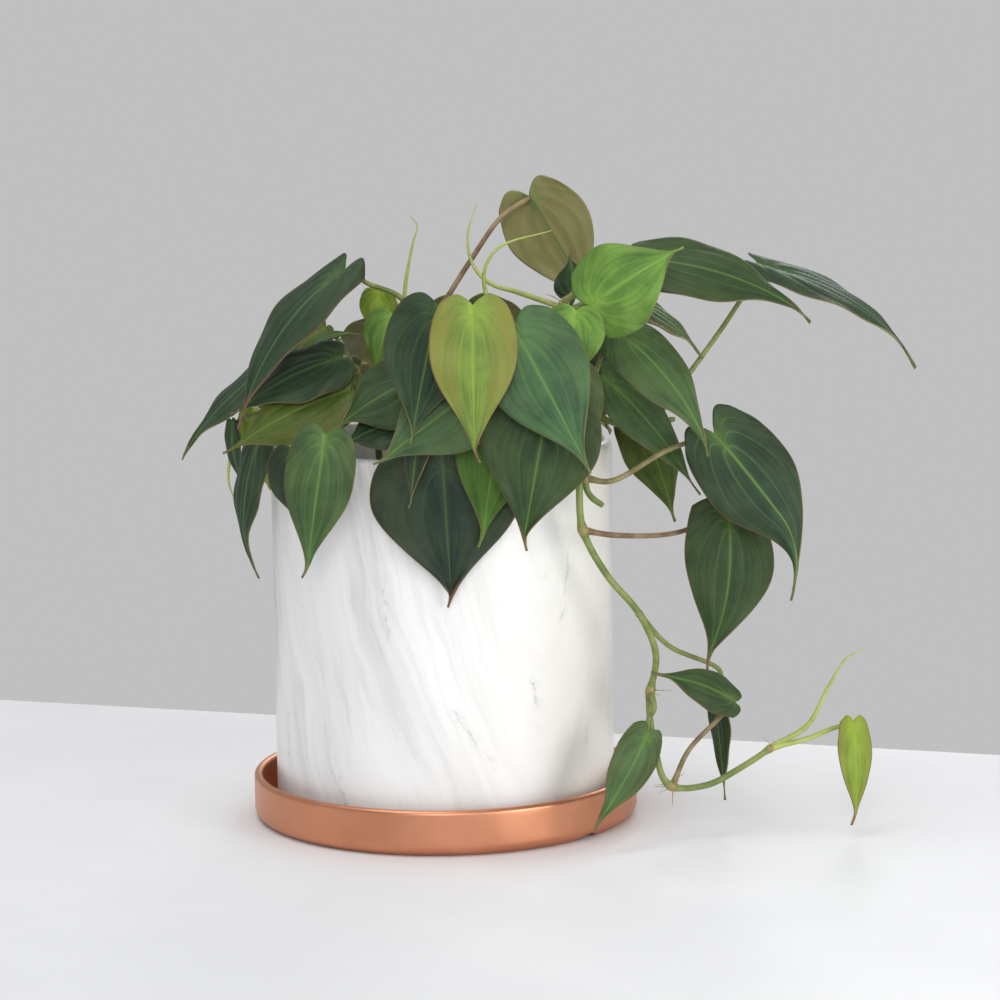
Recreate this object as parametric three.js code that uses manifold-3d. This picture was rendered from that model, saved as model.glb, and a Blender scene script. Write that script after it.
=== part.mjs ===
// A potted velvet-leaf philodendron: several rooted vines with heart-shaped leaves in a glazed pot,
// which stands in a shallow saucer. Millimetres, +Z up, -Y is the front of the plant.
// The origin is the middle of the saucer's flat underside.
import * as THREE from "three";
import { mergeVertices } from "three/addons/utils/BufferGeometryUtils.js";
import Module from "manifold-3d";

const wasm = await Module();
wasm.setup();

// ---- driving dimensions -------------------------------------------------------------------------

const POT_DIAMETER = 150;
const POT_HEIGHT = 163;
const POT_WALL = 6;
const POT_FLOOR = 8;
const POT_FOOT_BEVEL = 1.5;
const DRAIN_HOLE = 14;

const SAUCER_MOAT = 6.4; // free width between the pot and the saucer's wall
const SAUCER_WALL = 3.8;
const SAUCER_HEIGHT = 20;
const SAUCER_FLOOR = 3.7;
const SAUCER_CORNER = 5; // outer radius where the wall turns into the floor
const NOTCH_COUNT = 3;
const NOTCH_WIDTH = 13;
const NOTCH_RISE = 2.6;
const NOTCH_DEPTH = 9; // how far each notch runs in under the rim
const FIRST_NOTCH = -42; // compass angle of the first notch, in degrees from +X

const SOIL_BELOW_RIM = 18;
const SOIL_CROWN = 3; // how much higher the soil stands in the middle
const SEAT_GAP = 0.3; // between pieces that touch
const STEM_CLEAR = 1.2; // from the soil to the cut foot of a vine

const VINE_DIAMETER = 3.2;
const VINE_TIP_DIAMETER = 2.6;
const PETIOLE_DIAMETER = 2.5;
const PETIOLE_TIP_DIAMETER = 2;
const NODE_SWELL = 1.6; // a leaf node's width against its vine's
const BLADE_THICKNESS = 0.8;
const BLADE_CLEAR = 0.5; // from a petiole's end to the blade it carries
const ELBOW_DROP = 5.5; // how far under its blade a petiole bends
const ELBOW_RUN = 6; // and how far short of the blade's base
const STALK_STOP = 1; // how far short of the blade's base a petiole ends
const SHOOT_TIP_DIAMETER = 0.5;
const FOLD_SOFTNESS = 3; // over this distance from the midrib a blade's fold is rounded

const ROUND_SEGMENTS = 40;
const ROUNDING_STEPS = 4; // along each rounded lip and corner
const VINE_SIDES = 6;
const VINE_STRIDE = 8; // between the rings of a vine
const PETIOLE_SIDES = 5;
const PETIOLE_STRIDE = 14;
const SHOOT_STRIDE = 8;

const POT_RADIUS = POT_DIAMETER / 2;
const RIM_HEIGHT = SAUCER_FLOOR + SEAT_GAP + POT_HEIGHT;
const SAUCER_INNER_RADIUS = POT_RADIUS + SAUCER_MOAT;
const SAUCER_RADIUS = SAUCER_INNER_RADIUS + SAUCER_WALL;
const SOIL_HEIGHT = RIM_HEIGHT - SOIL_BELOW_RIM;

// ---- how the plant was grown --------------------------------------------------------------------

// The plant is drawn around a pot of this radius and rim height, and it spreads or climbs with the
// real pot. Every point below is [across, depth, height above the rim] in millimetres.
const DRAWN_RADIUS = 75;
const DRAWN_RIM_HEIGHT = 167;

// A vine rises from the soil at `foot` and passes through `path`. Its leaves leave it at `from`, a
// share of its length, and their petioles pass `via` on the way to the blade's base, `at`.
// A blade `points` along its midrib, its upper side looks along `face`, and it is `long` and `wide`.
// arch lifts the middle of the midrib, fold turns the two halves down, bow bends it sideways, hook
// bends the tip sideways, and nod bends the tip back.
// A shoot is a leafless young growth: a tapering curve of its own.
const VINES = [
  {
    name: "trailing_vine",
    foot: [30, -28],
    path: [
      [40, -42, 4], [52, -60, 8], [58, -70, -6], [60, -70, -30], [70, -66, -50], [84, -62, -68],
      [91, -60, -86], [88, -60, -106], [90, -62, -124], [96, -62, -142], [112, -60, -143],
      [128, -56, -136], [141, -54, -128],
    ],
    nodes: [0.36, 0.66, 0.82, 1],
    leaves: [
      { from: 0.36, via: [[74, -62, -34], [104, -34, -37]], at: [123, -38, -28],
        points: [-0.16, -0.05, -0.98], face: [0.1, -0.97, 0.1], long: 69, wide: 39, arch: 3,
        fold: 0.12, bow: -5 },
      { from: 0.82, via: [[105, -58, -128]], at: [125, -54, -108],
        points: [-0.88, -0.24, 0.36], face: [0.2, -0.75, 0.6], long: 40, wide: 19, arch: 4,
        fold: 0.2 },
      { from: 0.53, via: [[98, -42, -86]], at: [117, -30, -107],
        points: [0.1, 0, -0.99], face: [-0.85, -0.5, 0], long: 50, wide: 16, arch: 2, fold: 0.2,
        bow: -5 },
      { from: 0.66, via: [[90, -66, -108]], at: [87, -72, -117], points: [-0.5, -0.3, -0.8],
        face: [0.35, -0.9, 0.15], long: 47, wide: 20, arch: 3, fold: 0.15 },
      { from: 1, via: [[156, -52, -125]], at: [176, -52, -118],
        points: [0, -0.18, -0.98], face: [0.25, -0.96, 0], long: 44, wide: 15, arch: 2, fold: 0.1 },
    ],
    shoots: [
      [[140, -54, -128], [156, -53, -119], [165, -54, -102], [173, -55, -89], [181, -56, -85]],
    ],
  },
  {
    name: "cut_vine",
    foot: [46, -16],
    path: [[52, -30, 4], [57, -46, 12], [60, -60, 0], [63, -64, -16], [69, -65, -21]],
    nodes: [0.84],
    leaves: [
      { from: 0.84, via: [[72, -62, -11], [96, -50, 0]], at: [117, -48, 7],
        points: [0.6, -0.08, -0.79], face: [0.05, -0.95, 0.3], long: 76, wide: 40, arch: 4,
        fold: 0.12, lobe: 0.12, hook: 17 },
      { from: 0.5, via: [[59, -54, 24]], at: [54, -68, 38], points: [0.05, -0.1, -1],
        face: [0.25, -0.95, 0.1], long: 45, wide: 30, arch: 3, fold: 0.12 },
    ],
    shoots: [],
  },
  {
    name: "right_vine",
    foot: [34, 4],
    path: [[48, -4, 4], [62, -14, 12], [82, -20, 7], [102, -12, 9]],
    nodes: [0.55, 0.78],
    leaves: [
      { from: 0.78, via: [[96, -20, 14], [104, -18, 24], [122, -15, 48]],
        at: [141, -14, 74], points: [0.84, -0.05, -0.54], face: [0.35, -0.24, 0.9], long: 78,
        wide: 36, arch: 9, fold: 0.1, lobe: 0.12 },
      { from: 0.46, via: [[66, -22, 22]], at: [70, -30, 30], points: [0.62, -0.14, -0.77],
        face: [0.3, -0.75, 0.55], long: 66, wide: 24, arch: 5, fold: 0.15 },
      { from: 0.62, via: [[82, -8, 20], [88, 4, 18]], at: [86, -3, 10],
        points: [0.32, -0.08, -0.93], face: [0.4, -0.9, 0.1], long: 50, wide: 28, arch: 3,
        fold: 0.12 },
      { from: 0.4, via: [[63, -43, 22], [69, -49, 40]], at: [75, -52, 52],
        points: [0.6, -0.12, -0.79], face: [0.25, -0.75, 0.6], long: 66, wide: 29, arch: 8,
        fold: 0.15 },
      { from: 0.3, via: [[58, -12, 28]], at: [64, -11, 45], points: [0.86, -0.02, -0.5],
        face: [0.2, -0.75, 0.6], long: 43, wide: 32, arch: 4, fold: 0.12 },
    ],
    shoots: [
      [[62, -14, 12], [72, -10, 13], [84, -7, 13]],
    ],
  },
  {
    name: "crown_vine",
    foot: [20, -10],
    path: [[28, -16, 12], [36, -22, 34], [54, -28, 62]],
    nodes: [0.5, 0.8, 1],
    leaves: [
      { from: 0.8, via: [[54, -44, 58]], at: [64, -64, 63], points: [0.83, -0.04, 0.52],
        face: [-0.05, -0.92, 0.38], long: 46, wide: 40, arch: 3, fold: 0.08 },
      { from: 0.7, via: [[50, -48, 54]], at: [58, -72, 62], points: [-0.12, -0.12, -0.98],
        face: [-0.1, -0.92, 0.35], long: 34, wide: 26, arch: 2, fold: 0.1 },
      { from: 1, via: [[68, -32, 72]], at: [86, -36, 80], points: [0.94, -0.1, -0.32],
        face: [0.2, -0.68, 0.7], long: 77, wide: 34, arch: 8, fold: 0.14 },
      { from: 0.9, via: [[66, -22, 62]], at: [81, -20, 62], points: [0.78, 0, -0.62],
        face: [0.5, -0.35, 0.8], long: 42, wide: 24, arch: 4, fold: 0.1 },
      { from: 0.95, via: [[57, -10, 58]], at: [59, -14, 63], points: [-0.1, 0, 0.98],
        face: [0, -0.98, 0], long: 19, wide: 17, arch: 1, fold: 0.1 },
    ],
    shoots: [
      [[52, -28, 60], [34, -23, 66], [22, -21, 70], [15, -20, 78], [13, -20, 90], [17, -20, 104]],
      [[36, -22, 34], [22, -38, 62], [20, -40, 76], [26, -39, 86], [49, -35, 93]],
    ],
  },
  {
    name: "rear_vine",
    foot: [-2, 16],
    path: [[-2, 16, 12], [-1, 13, 36], [0, 10, 56]],
    nodes: [0.45, 0.7, 1],
    leaves: [
      { from: 1, via: [[13, 14, 76], [27, 24, 95]], at: [40, 30, 104.5], points: [0.48, 0.05, -0.87],
        face: [0.1, 0.92, 0.38], long: 60, wide: 40, arch: 3, fold: 0.08, lobe: 0.1 },
      { from: 0.7, via: [[-10, 28, 46]], at: [-18, 40, 50], points: [-0.35, 0.7, -0.62],
        face: [-0.15, 0.6, 0.78], long: 68, wide: 44, arch: 4, fold: 0.1 },
      { from: 0.8, via: [[6, 26, 54]], at: [12, 40, 57], points: [0.2, 0.72, -0.66],
        face: [0.1, 0.6, 0.78], long: 76, wide: 50, arch: 4, fold: 0.1 },
      { from: 0.45, via: [[20, 24, 26]], at: [38, 34, 33], points: [0.62, 0.5, -0.6],
        face: [0.4, 0.5, 0.76], long: 64, wide: 44, arch: 4, fold: 0.1 },
      { from: 0.4, via: [[-18, 24, 24]], at: [-36, 32, 31], points: [-0.58, 0.5, -0.64],
        face: [-0.4, 0.5, 0.76], long: 60, wide: 42, arch: 4, fold: 0.1 },
    ],
    shoots: [],
  },
  {
    name: "upright_vine",
    foot: [-12, -2],
    path: [[-12, -4, 12], [-12, -8, 36], [-11, -12, 58]],
    nodes: [0.6, 1],
    leaves: [
      { from: 1, via: [[-18, -16, 65], [-32, -24, 72]], at: [-40, -28, 76],
        points: [-0.54, -0.3, -0.78], face: [-0.66, -0.58, 0.48], long: 82, wide: 34, arch: 9,
        fold: 0.12, lobe: 0.1 },
      { from: 0.95, via: [[-8, -40, 64], [-4, -66, 66]], at: [1, -87, 66],
        points: [-0.2, -0.1, -0.97], face: [-0.1, -0.98, 0.15], long: 58, wide: 38, arch: 3,
        fold: 0.1 },
      { from: 0.9, via: [[-19, -4, 61]], at: [-26, -6, 66], points: [-0.05, -0.1, -0.98],
        face: [-0.1, -0.95, 0.2], long: 22, wide: 16, arch: 2, fold: 0.1 },
      { from: 0.75, via: [[-16, -14, 52]], at: [-20, -20, 57], points: [-0.3, -0.1, -0.92],
        face: [-0.1, -0.95, 0.3], long: 27, wide: 20, arch: 2, fold: 0.1 },
      { from: 0.6, via: [[-18, -12, 40]], at: [-22, -4, 43], points: [-0.2, 0.1, -0.95],
        face: [-0.1, 0.95, 0.2], long: 20, wide: 20, arch: 2, fold: 0.1 },
    ],
    shoots: [
      [[-12, -8, 36], [-15, -2, 62], [-11, -2, 86], [-9, -2, 94], [-12, -3, 98]],
    ],
  },
  {
    name: "left_vine",
    foot: [-26, -10],
    path: [[-28, -14, 6], [-32, -20, 22], [-36, -24, 34]],
    nodes: [0.6, 1],
    leaves: [
      { from: 1, via: [[-38, -30, 37]], at: [-41, -40, 40], points: [-0.88, -0.08, -0.45],
        face: [-0.2, -0.5, 0.85], long: 53, wide: 38, arch: 4, fold: 0.12 },
      { from: 0.9, via: [[-50, -16, 34], [-63, -10, 35]], at: [-74, -8, 34],
        points: [-0.7, -0.04, -0.7], face: [-0.4, -0.35, 0.8], long: 56, wide: 26, arch: 3,
        fold: 0.12 },
      { from: 0.7, via: [[-33, -36, 24]], at: [-37, -51, 27.5], points: [-0.87, 0.04, -0.44],
        face: [-0.1, -0.75, 0.6], long: 61, wide: 34, arch: 5, fold: 0.12 },
      { from: 0.85, via: [[-44, -14, 40]], at: [-54, -8, 44], points: [0.95, 0, 0.16],
        face: [0, -0.5, 0.86], long: 20, wide: 6, arch: 2, fold: 0.05 },
      { from: 0.8, via: [[-42, -6, 42]], at: [-50, 2, 50], points: [-0.7, 0, -0.7],
        face: [-0.5, -0.6, 0.6], long: 34, wide: 22, arch: 2, fold: 0.1 },
    ],
    shoots: [],
  },
  {
    name: "outer_left_vine",
    foot: [-42, -10],
    path: [[-52, -12, 6], [-64, -10, 14], [-76, -4, 13], [-86, 4, 10]],
    nodes: [0.55, 0.8, 1],
    leaves: [
      { from: 0.6, via: [[-72, -14, 12]], at: [-77, -20, 6], points: [-0.12, -0.02, -0.99],
        face: [-0.85, -0.5, 0.1], long: 62, wide: 28, arch: 3, fold: 0.1, bow: 4, hook: -8 },
      { from: 1, via: [], at: [-92, 5, 8], points: [0.15, 0, -0.98], face: [-0.8, -0.6, 0],
        long: 30, wide: 12, arch: 2, fold: 0.1 },
      { from: 0.85, via: [[-82, 12, 14]], at: [-84, 20, 12], points: [0, 0.1, -0.98],
        face: [-0.3, -0.9, 0], long: 25, wide: 14, arch: 2, fold: 0.1 },
      { from: 0.75, via: [[-74, 14, 10], [-76, 26, 4]], at: [-80, 34, -3],
        points: [0.05, 0.05, -0.98], face: [-0.4, -0.9, 0], long: 24, wide: 16, arch: 2,
        fold: 0.1 },
      { from: 0.2, via: [[-46, -40, 8], [-47, -60, 5], [-46, -74, 4]], at: [-46, -86, 13],
        points: [-0.15, 0.02, -0.98], face: [-0.05, -0.98, 0.12], long: 61, wide: 29, arch: 3,
        fold: 0.1 },
      { from: 0.3, via: [[-58, -34, 8]], at: [-60, -64, 4], points: [0.08, 0, -1],
        face: [-0.4, -0.9, 0], long: 36, wide: 28, arch: 2, fold: 0.08 },
    ],
    shoots: [
      [[-86, 4, 10], [-91, 11, 5], [-94, 14, -8], [-95, 14, -20], [-92, 13, -29]],
    ],
  },
  {
    name: "front_vine",
    foot: [0, -30],
    path: [[1, -38, 4], [2, -50, 20], [4, -56, 36]],
    nodes: [0.6, 1],
    leaves: [
      { from: 0.5, via: [[0, -62, 12]], at: [2, -80, 4], points: [0.05, 0.02, -0.99],
        face: [-0.05, -0.99, 0.06], long: 65, wide: 63, arch: 2, fold: 0.14 },
      { from: 1, via: [[18, -74, 50], [19, -90, 60]], at: [15.5, -100, 67], points: [0, -0.1, -0.99],
        face: [0, -0.99, 0.12], long: 64, wide: 36, arch: 3, fold: 0.1 },
      { from: 0.9, via: [[12, -68, 34]], at: [20, -86, 34], points: [-0.8, -0.08, -0.59],
        face: [-0.05, -0.96, 0.2], long: 57, wide: 38, arch: 3, fold: 0.1 },
      { from: 0.8, via: [[-4, -56, 32]], at: [-9, -60, 33], points: [-0.84, -0.16, -0.5],
        face: [-0.2, -0.75, 0.6], long: 40, wide: 38, arch: 3, fold: 0.3 },
      { from: 0.6, via: [[-6, -58, 20]], at: [-16, -66, 15], points: [-0.92, 0, -0.35],
        face: [0, -0.7, 0.7], long: 26, wide: 22, arch: 2, fold: 0.12 },
      { from: 0.65, via: [[-1, -68, 22]], at: [-5, -82, 21], points: [-0.16, -0.06, -0.98],
        face: [-0.5, -0.85, 0], long: 40, wide: 13, arch: 2, fold: 0.15 },
    ],
    shoots: [],
  },
  {
    name: "front_right_vine",
    foot: [22, -34],
    path: [[25, -42, 4], [29, -52, 20], [33, -58, 36]],
    nodes: [0.6, 1],
    leaves: [
      { from: 1, via: [[34, -76, 50]], at: [32, -95, 58], points: [0.45, -0.1, -0.88],
        face: [0.05, -0.98, 0.15], long: 68, wide: 43, arch: 3, fold: 0.1 },
      { from: 0.7, via: [[28, -66, 24]], at: [26, -80, 24], points: [-0.14, -0.06, -0.99],
        face: [0, -0.99, 0.05], long: 60, wide: 33, arch: 2, fold: 0.1 },
      { from: 0.85, via: [[36, -72, 31]], at: [46, -88, 29], points: [-0.18, -0.1, -0.97],
        face: [0.1, -0.98, 0.12], long: 65, wide: 50, arch: 3, fold: 0.1 },
    ],
    shoots: [],
  },
];

// ---- curves and tubes ---------------------------------------------------------------------------

// How much the real plant is spread, and stretched upward, at a drawn height above the rim.
function growth(height) {
  return {
    spread: POT_RADIUS / DRAWN_RADIUS,
    climb: height < 0 ? RIM_HEIGHT / DRAWN_RIM_HEIGHT : 1,
  };
}

// A point drawn around the pot, moved to where it lies around the real one.
function aroundPot(point) {
  const { spread, climb } = growth(point.z);
  return new THREE.Vector3(point.x * spread, point.y * spread, RIM_HEIGHT + point.z * climb);
}

const vector = (p) => new THREE.Vector3(...p);

function smoothCurve(points) {
  return new THREE.CatmullRomCurve3(points, false, "centripetal");
}

function regularSection(diameter, sides) {
  const section = new THREE.Shape();
  for (let i = 0; i < sides; i += 1) {
    const turn = (2 * Math.PI * i) / sides;
    const x = (diameter / 2) * Math.cos(turn);
    const y = (diameter / 2) * Math.sin(turn);
    if (i === 0) section.moveTo(x, y);
    else section.lineTo(x, y);
  }
  section.closePath();
  return section;
}

// Narrows a swept tube evenly from its full size to `endScale` at the far end of its curve.
function taper(geometry, curve, steps, endScale) {
  const centres = curve.getSpacedPoints(steps);
  const position = geometry.getAttribute("position");
  const p = new THREE.Vector3();
  for (let i = 0; i < position.count; i += 1) {
    p.fromBufferAttribute(position, i);
    let nearest = 0;
    for (let k = 1; k <= steps; k += 1) {
      if (centres[k].distanceToSquared(p) < centres[nearest].distanceToSquared(p)) nearest = k;
    }
    const scale = 1 + (endScale - 1) * (nearest / steps);
    p.sub(centres[nearest]).multiplyScalar(scale).add(centres[nearest]);
    position.setXYZ(i, p.x, p.y, p.z);
  }
}

// A closed tube along a curve, with a step about every `stride` millimetres.
function tube(curve, diameter, endDiameter, sides, stride) {
  const steps = Math.max(4, Math.round(curve.getLength() / stride));
  const geometry = new THREE.ExtrudeGeometry(regularSection(diameter, sides), {
    steps,
    bevelEnabled: false,
    extrudePath: curve,
  });
  taper(geometry, curve, steps, endDiameter / diameter);
  return geometry;
}

// ---- solids -------------------------------------------------------------------------------------

function asSolid(geometry) {
  const bare = new THREE.BufferGeometry();
  const source = geometry.index ? geometry.toNonIndexed() : geometry;
  bare.setAttribute("position", source.getAttribute("position"));
  const merged = mergeVertices(bare, 1e-3);
  return new wasm.Manifold(
    new wasm.Mesh({
      numProp: 3,
      vertProperties: new Float32Array(merged.getAttribute("position").array),
      triVerts: new Uint32Array(merged.index.array),
    }),
  );
}

function asGeometry(solid) {
  const mesh = solid.getMesh();
  const geometry = new THREE.BufferGeometry();
  geometry.setAttribute("position", new THREE.BufferAttribute(mesh.vertProperties, 3));
  geometry.setIndex(new THREE.BufferAttribute(mesh.triVerts, 1));
  geometry.computeVertexNormals();
  return geometry;
}

// ---- pot, soil and saucer -----------------------------------------------------------------------

function lathe(profile) {
  const geometry = new THREE.LatheGeometry(
    profile.map(([r, z]) => new THREE.Vector2(r, z)),
    ROUND_SEGMENTS,
  );
  return geometry.rotateX(Math.PI / 2);
}

// A straight-sided pot with a rounded lip and a drain hole in its floor.
function potGeometry() {
  const foot = SAUCER_FLOOR + SEAT_GAP;
  const inner = POT_RADIUS - POT_WALL;
  const lip = POT_WALL / 2;
  const profile = [
    [DRAIN_HOLE / 2, foot],
    [POT_RADIUS - POT_FOOT_BEVEL, foot],
    [POT_RADIUS, foot + POT_FOOT_BEVEL],
  ];
  for (let i = 0; i <= ROUNDING_STEPS; i += 1) {
    const turn = (Math.PI * i) / ROUNDING_STEPS;
    profile.push([POT_RADIUS - lip + lip * Math.cos(turn), RIM_HEIGHT - lip + lip * Math.sin(turn)]);
  }
  profile.push([inner, foot + POT_FLOOR]);
  profile.push([DRAIN_HOLE / 2, foot + POT_FLOOR]);
  profile.push([DRAIN_HOLE / 2, foot]);
  return lathe(profile);
}

// The soil fills the pot to a slightly crowned surface below the rim.
function soilGeometry() {
  const bottom = SAUCER_FLOOR + SEAT_GAP + POT_FLOOR + SEAT_GAP;
  const radius = POT_RADIUS - POT_WALL - SEAT_GAP;
  return lathe([
    [0, bottom],
    [radius, bottom],
    [radius, SOIL_HEIGHT - SOIL_CROWN],
    [radius * 0.75, SOIL_HEIGHT - SOIL_CROWN * 0.45],
    [radius * 0.4, SOIL_HEIGHT],
    [0, SOIL_HEIGHT],
  ]);
}

// A round-bottomed groove under the saucer's rim, running outward along +X.
function notchSolid() {
  const half = NOTCH_WIDTH / 2;
  const radius = (half * half + NOTCH_RISE * NOTCH_RISE) / (2 * NOTCH_RISE);
  const groove = new THREE.CylinderGeometry(radius, radius, NOTCH_DEPTH * 2, 32);
  groove.rotateZ(Math.PI / 2);
  groove.translate(SAUCER_RADIUS, 0, NOTCH_RISE - radius);
  return asSolid(groove);
}

// A shallow dish with a rounded lip, a rounded outer corner and three scalloped notches under it.
function saucerGeometry() {
  const lip = SAUCER_WALL / 2;
  const profile = [[0, 0]];
  for (let i = 0; i <= ROUNDING_STEPS; i += 1) {
    const turn = (Math.PI / 2) * (i / ROUNDING_STEPS);
    profile.push([
      SAUCER_RADIUS - SAUCER_CORNER * (1 - Math.sin(turn)),
      SAUCER_CORNER * (1 - Math.cos(turn)),
    ]);
  }
  for (let i = 0; i <= ROUNDING_STEPS; i += 1) {
    const turn = (Math.PI * i) / ROUNDING_STEPS;
    profile.push([
      SAUCER_RADIUS - lip + lip * Math.cos(turn),
      SAUCER_HEIGHT - lip + lip * Math.sin(turn),
    ]);
  }
  profile.push([SAUCER_INNER_RADIUS, SAUCER_FLOOR]);
  profile.push([0, SAUCER_FLOOR]);
  let dish = asSolid(lathe(profile));
  const notch = notchSolid();
  for (let i = 0; i < NOTCH_COUNT; i += 1) {
    dish = dish.subtract(notch.rotate([0, 0, FIRST_NOTCH + (360 * i) / NOTCH_COUNT]));
  }
  return asGeometry(dish);
}

// ---- leaf blades --------------------------------------------------------------------------------

const WIDEST = 0.27; // share of the midrib, from the base, where a blade is widest
const BASE_SHARE = 0.76; // its width at the base against its greatest width
const TIP_TAPER = 2.1; // how quickly a blade narrows to its tip
const LOBE_DEPTH = 0.07; // how far the two lobes reach behind the base, against the length
const ROWS = [0, 0.1, 0.27, 0.46, 0.66, 0.85, 1];
const COLUMNS = [-1, -0.6, -0.3, 0, 0.3, 0.6, 1];

// Half the blade's width at the share s of its midrib, against its greatest half width.
function outline(s) {
  if (s < WIDEST) {
    const back = (WIDEST - s) / WIDEST;
    return Math.sqrt(1 - (1 - BASE_SHARE * BASE_SHARE) * back * back);
  }
  const on = (s - WIDEST) / (1 - WIDEST);
  return Math.max(0, Math.cos((Math.PI / 2) * on ** 1.1)) ** TIP_TAPER;
}

// The blade's own directions: along the midrib, out of its upper side, and across.
function bladeAxes(leaf) {
  const along = vector(leaf.points).normalize();
  const out = vector(leaf.face);
  out.addScaledVector(along, -out.dot(along)).normalize();
  const across = new THREE.Vector3().crossVectors(along, out);
  return { along, out, across };
}

// The direction out of a blade's upper side once the plant has spread around the real pot.
function upperSide(leaf, axes) {
  const { spread, climb } = growth(leaf.at[2]);
  return new THREE.Vector3(axes.out.x / spread, axes.out.y / spread, axes.out.z / climb).normalize();
}

// A point of the blade's middle surface: s from the base to the tip, t from edge to edge.
function bladePoint(leaf, axes, s, t) {
  const width = (leaf.wide / 2) * outline(s) * t;
  const lobe = leaf.long * (leaf.lobe ?? LOBE_DEPTH) * Math.sin(Math.PI * Math.abs(t)) * (1 - s) ** 4;
  const hump = 4 * s * (1 - s);
  const tip = Math.max(0, (s - 0.6) / 0.4) ** 2;
  const side = width + (leaf.bow ?? 0) * hump + (leaf.hook ?? 0) * tip;
  const bend = leaf.fold * (Math.hypot(width, FOLD_SOFTNESS) - FOLD_SOFTNESS);
  const rise = leaf.arch * hump - bend - (leaf.nod ?? 0) * tip;
  return vector(leaf.at)
    .addScaledVector(axes.along, leaf.long * s - lobe)
    .addScaledVector(axes.across, side)
    .addScaledVector(axes.out, rise);
}

// A thin closed sheet: an upper and a lower skin that meet along the leaf's margin and at its tip.
function bladeGeometry(leaf) {
  const axes = bladeAxes(leaf);
  const upper = upperSide(leaf, axes);
  const positions = [];
  const keys = new Map();
  function corner(row, column, side) {
    const isTip = row === ROWS.length - 1;
    const isMargin = isTip || row === 0 || column === 0 || column === COLUMNS.length - 1;
    const key = isTip ? "tip" : `${row} ${column} ${isMargin ? 0 : side}`;
    if (!keys.has(key)) {
      const p = aroundPot(bladePoint(leaf, axes, ROWS[row], isTip ? 0 : COLUMNS[column]));
      if (!isMargin) p.addScaledVector(upper, (side * BLADE_THICKNESS) / 2);
      keys.set(key, positions.length / 3);
      positions.push(p.x, p.y, p.z);
    }
    return keys.get(key);
  }
  const faces = [];
  for (const side of [1, -1]) {
    for (let row = 0; row < ROWS.length - 1; row += 1) {
      for (let column = 0; column < COLUMNS.length - 1; column += 1) {
        const a = corner(row, column, side);
        const b = corner(row, column + 1, side);
        const c = corner(row + 1, column + 1, side);
        const d = corner(row + 1, column, side);
        const loop = side > 0 ? [a, b, c, d] : [d, c, b, a];
        if (loop[0] !== loop[1] && loop[1] !== loop[2]) faces.push(loop[0], loop[1], loop[2]);
        if (loop[0] !== loop[3] && loop[2] !== loop[3]) faces.push(loop[0], loop[2], loop[3]);
      }
    }
  }
  const geometry = new THREE.BufferGeometry();
  geometry.setAttribute("position", new THREE.Float32BufferAttribute(positions, 3));
  geometry.setIndex(faces);
  geometry.computeVertexNormals();
  return geometry;
}

// ---- vines --------------------------------------------------------------------------------------

function vineCurve(vine) {
  const [x, y] = vine.foot;
  const foot = aroundPot(new THREE.Vector3(x, y, 0)).setZ(SOIL_HEIGHT + STEM_CLEAR);
  return smoothCurve([foot, ...vine.path.map((p) => aroundPot(vector(p)))]);
}

// A petiole leaves its vine, passes its own points, and meets the blade's base from underneath.
function petioleCurve(vineLine, leaf) {
  const upper = upperSide(leaf, bladeAxes(leaf));
  const start = vineLine.getPointAt(leaf.from);
  const base = aroundPot(vector(leaf.at));
  const via = leaf.via.map((p) => aroundPot(vector(p)));
  const before = via.length ? via[via.length - 1] : start;
  const approach = before.clone().sub(base);
  approach.addScaledVector(upper, -approach.dot(upper)).normalize();
  const under = PETIOLE_TIP_DIAMETER / 2 + BLADE_THICKNESS / 2 + BLADE_CLEAR;
  const end = base.clone().addScaledVector(upper, -under).addScaledVector(approach, STALK_STOP);
  const elbow = base.clone().addScaledVector(upper, -ELBOW_DROP).addScaledVector(approach, ELBOW_RUN);
  return smoothCurve([start, ...via, elbow, end]);
}

function nodeSolid(line, share) {
  const middle = line.getPointAt(share);
  const swell = new THREE.SphereGeometry((VINE_DIAMETER / 2) * NODE_SWELL, 7, 4);
  return asSolid(swell.translate(middle.x, middle.y, middle.z));
}

function vineGeometry(vine) {
  const line = vineCurve(vine);
  let solid = asSolid(tube(line, VINE_DIAMETER, VINE_TIP_DIAMETER, VINE_SIDES, VINE_STRIDE));
  for (const share of vine.nodes) {
    solid = solid.add(nodeSolid(line, share));
  }
  for (const leaf of vine.leaves) {
    const stalk = petioleCurve(line, leaf);
    const stalkTube = tube(
      stalk, PETIOLE_DIAMETER, PETIOLE_TIP_DIAMETER, PETIOLE_SIDES, PETIOLE_STRIDE,
    );
    solid = solid.add(asSolid(stalkTube));
  }
  for (const points of vine.shoots) {
    const shoot = smoothCurve(points.map((p) => aroundPot(vector(p))));
    const shootTube = tube(
      shoot, PETIOLE_DIAMETER, SHOOT_TIP_DIAMETER, PETIOLE_SIDES, SHOOT_STRIDE,
    );
    solid = solid.add(asSolid(shootTube));
  }
  return asGeometry(solid);
}

// ---- materials and assembly ---------------------------------------------------------------------

function finish(colour, roughness, metalness = 0) {
  return new THREE.MeshStandardMaterial({ color: colour, roughness, metalness });
}

const plant = new THREE.Group();

function addPiece(name, geometry, material) {
  const mesh = new THREE.Mesh(geometry, material);
  mesh.name = name;
  plant.add(mesh);
}

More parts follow.
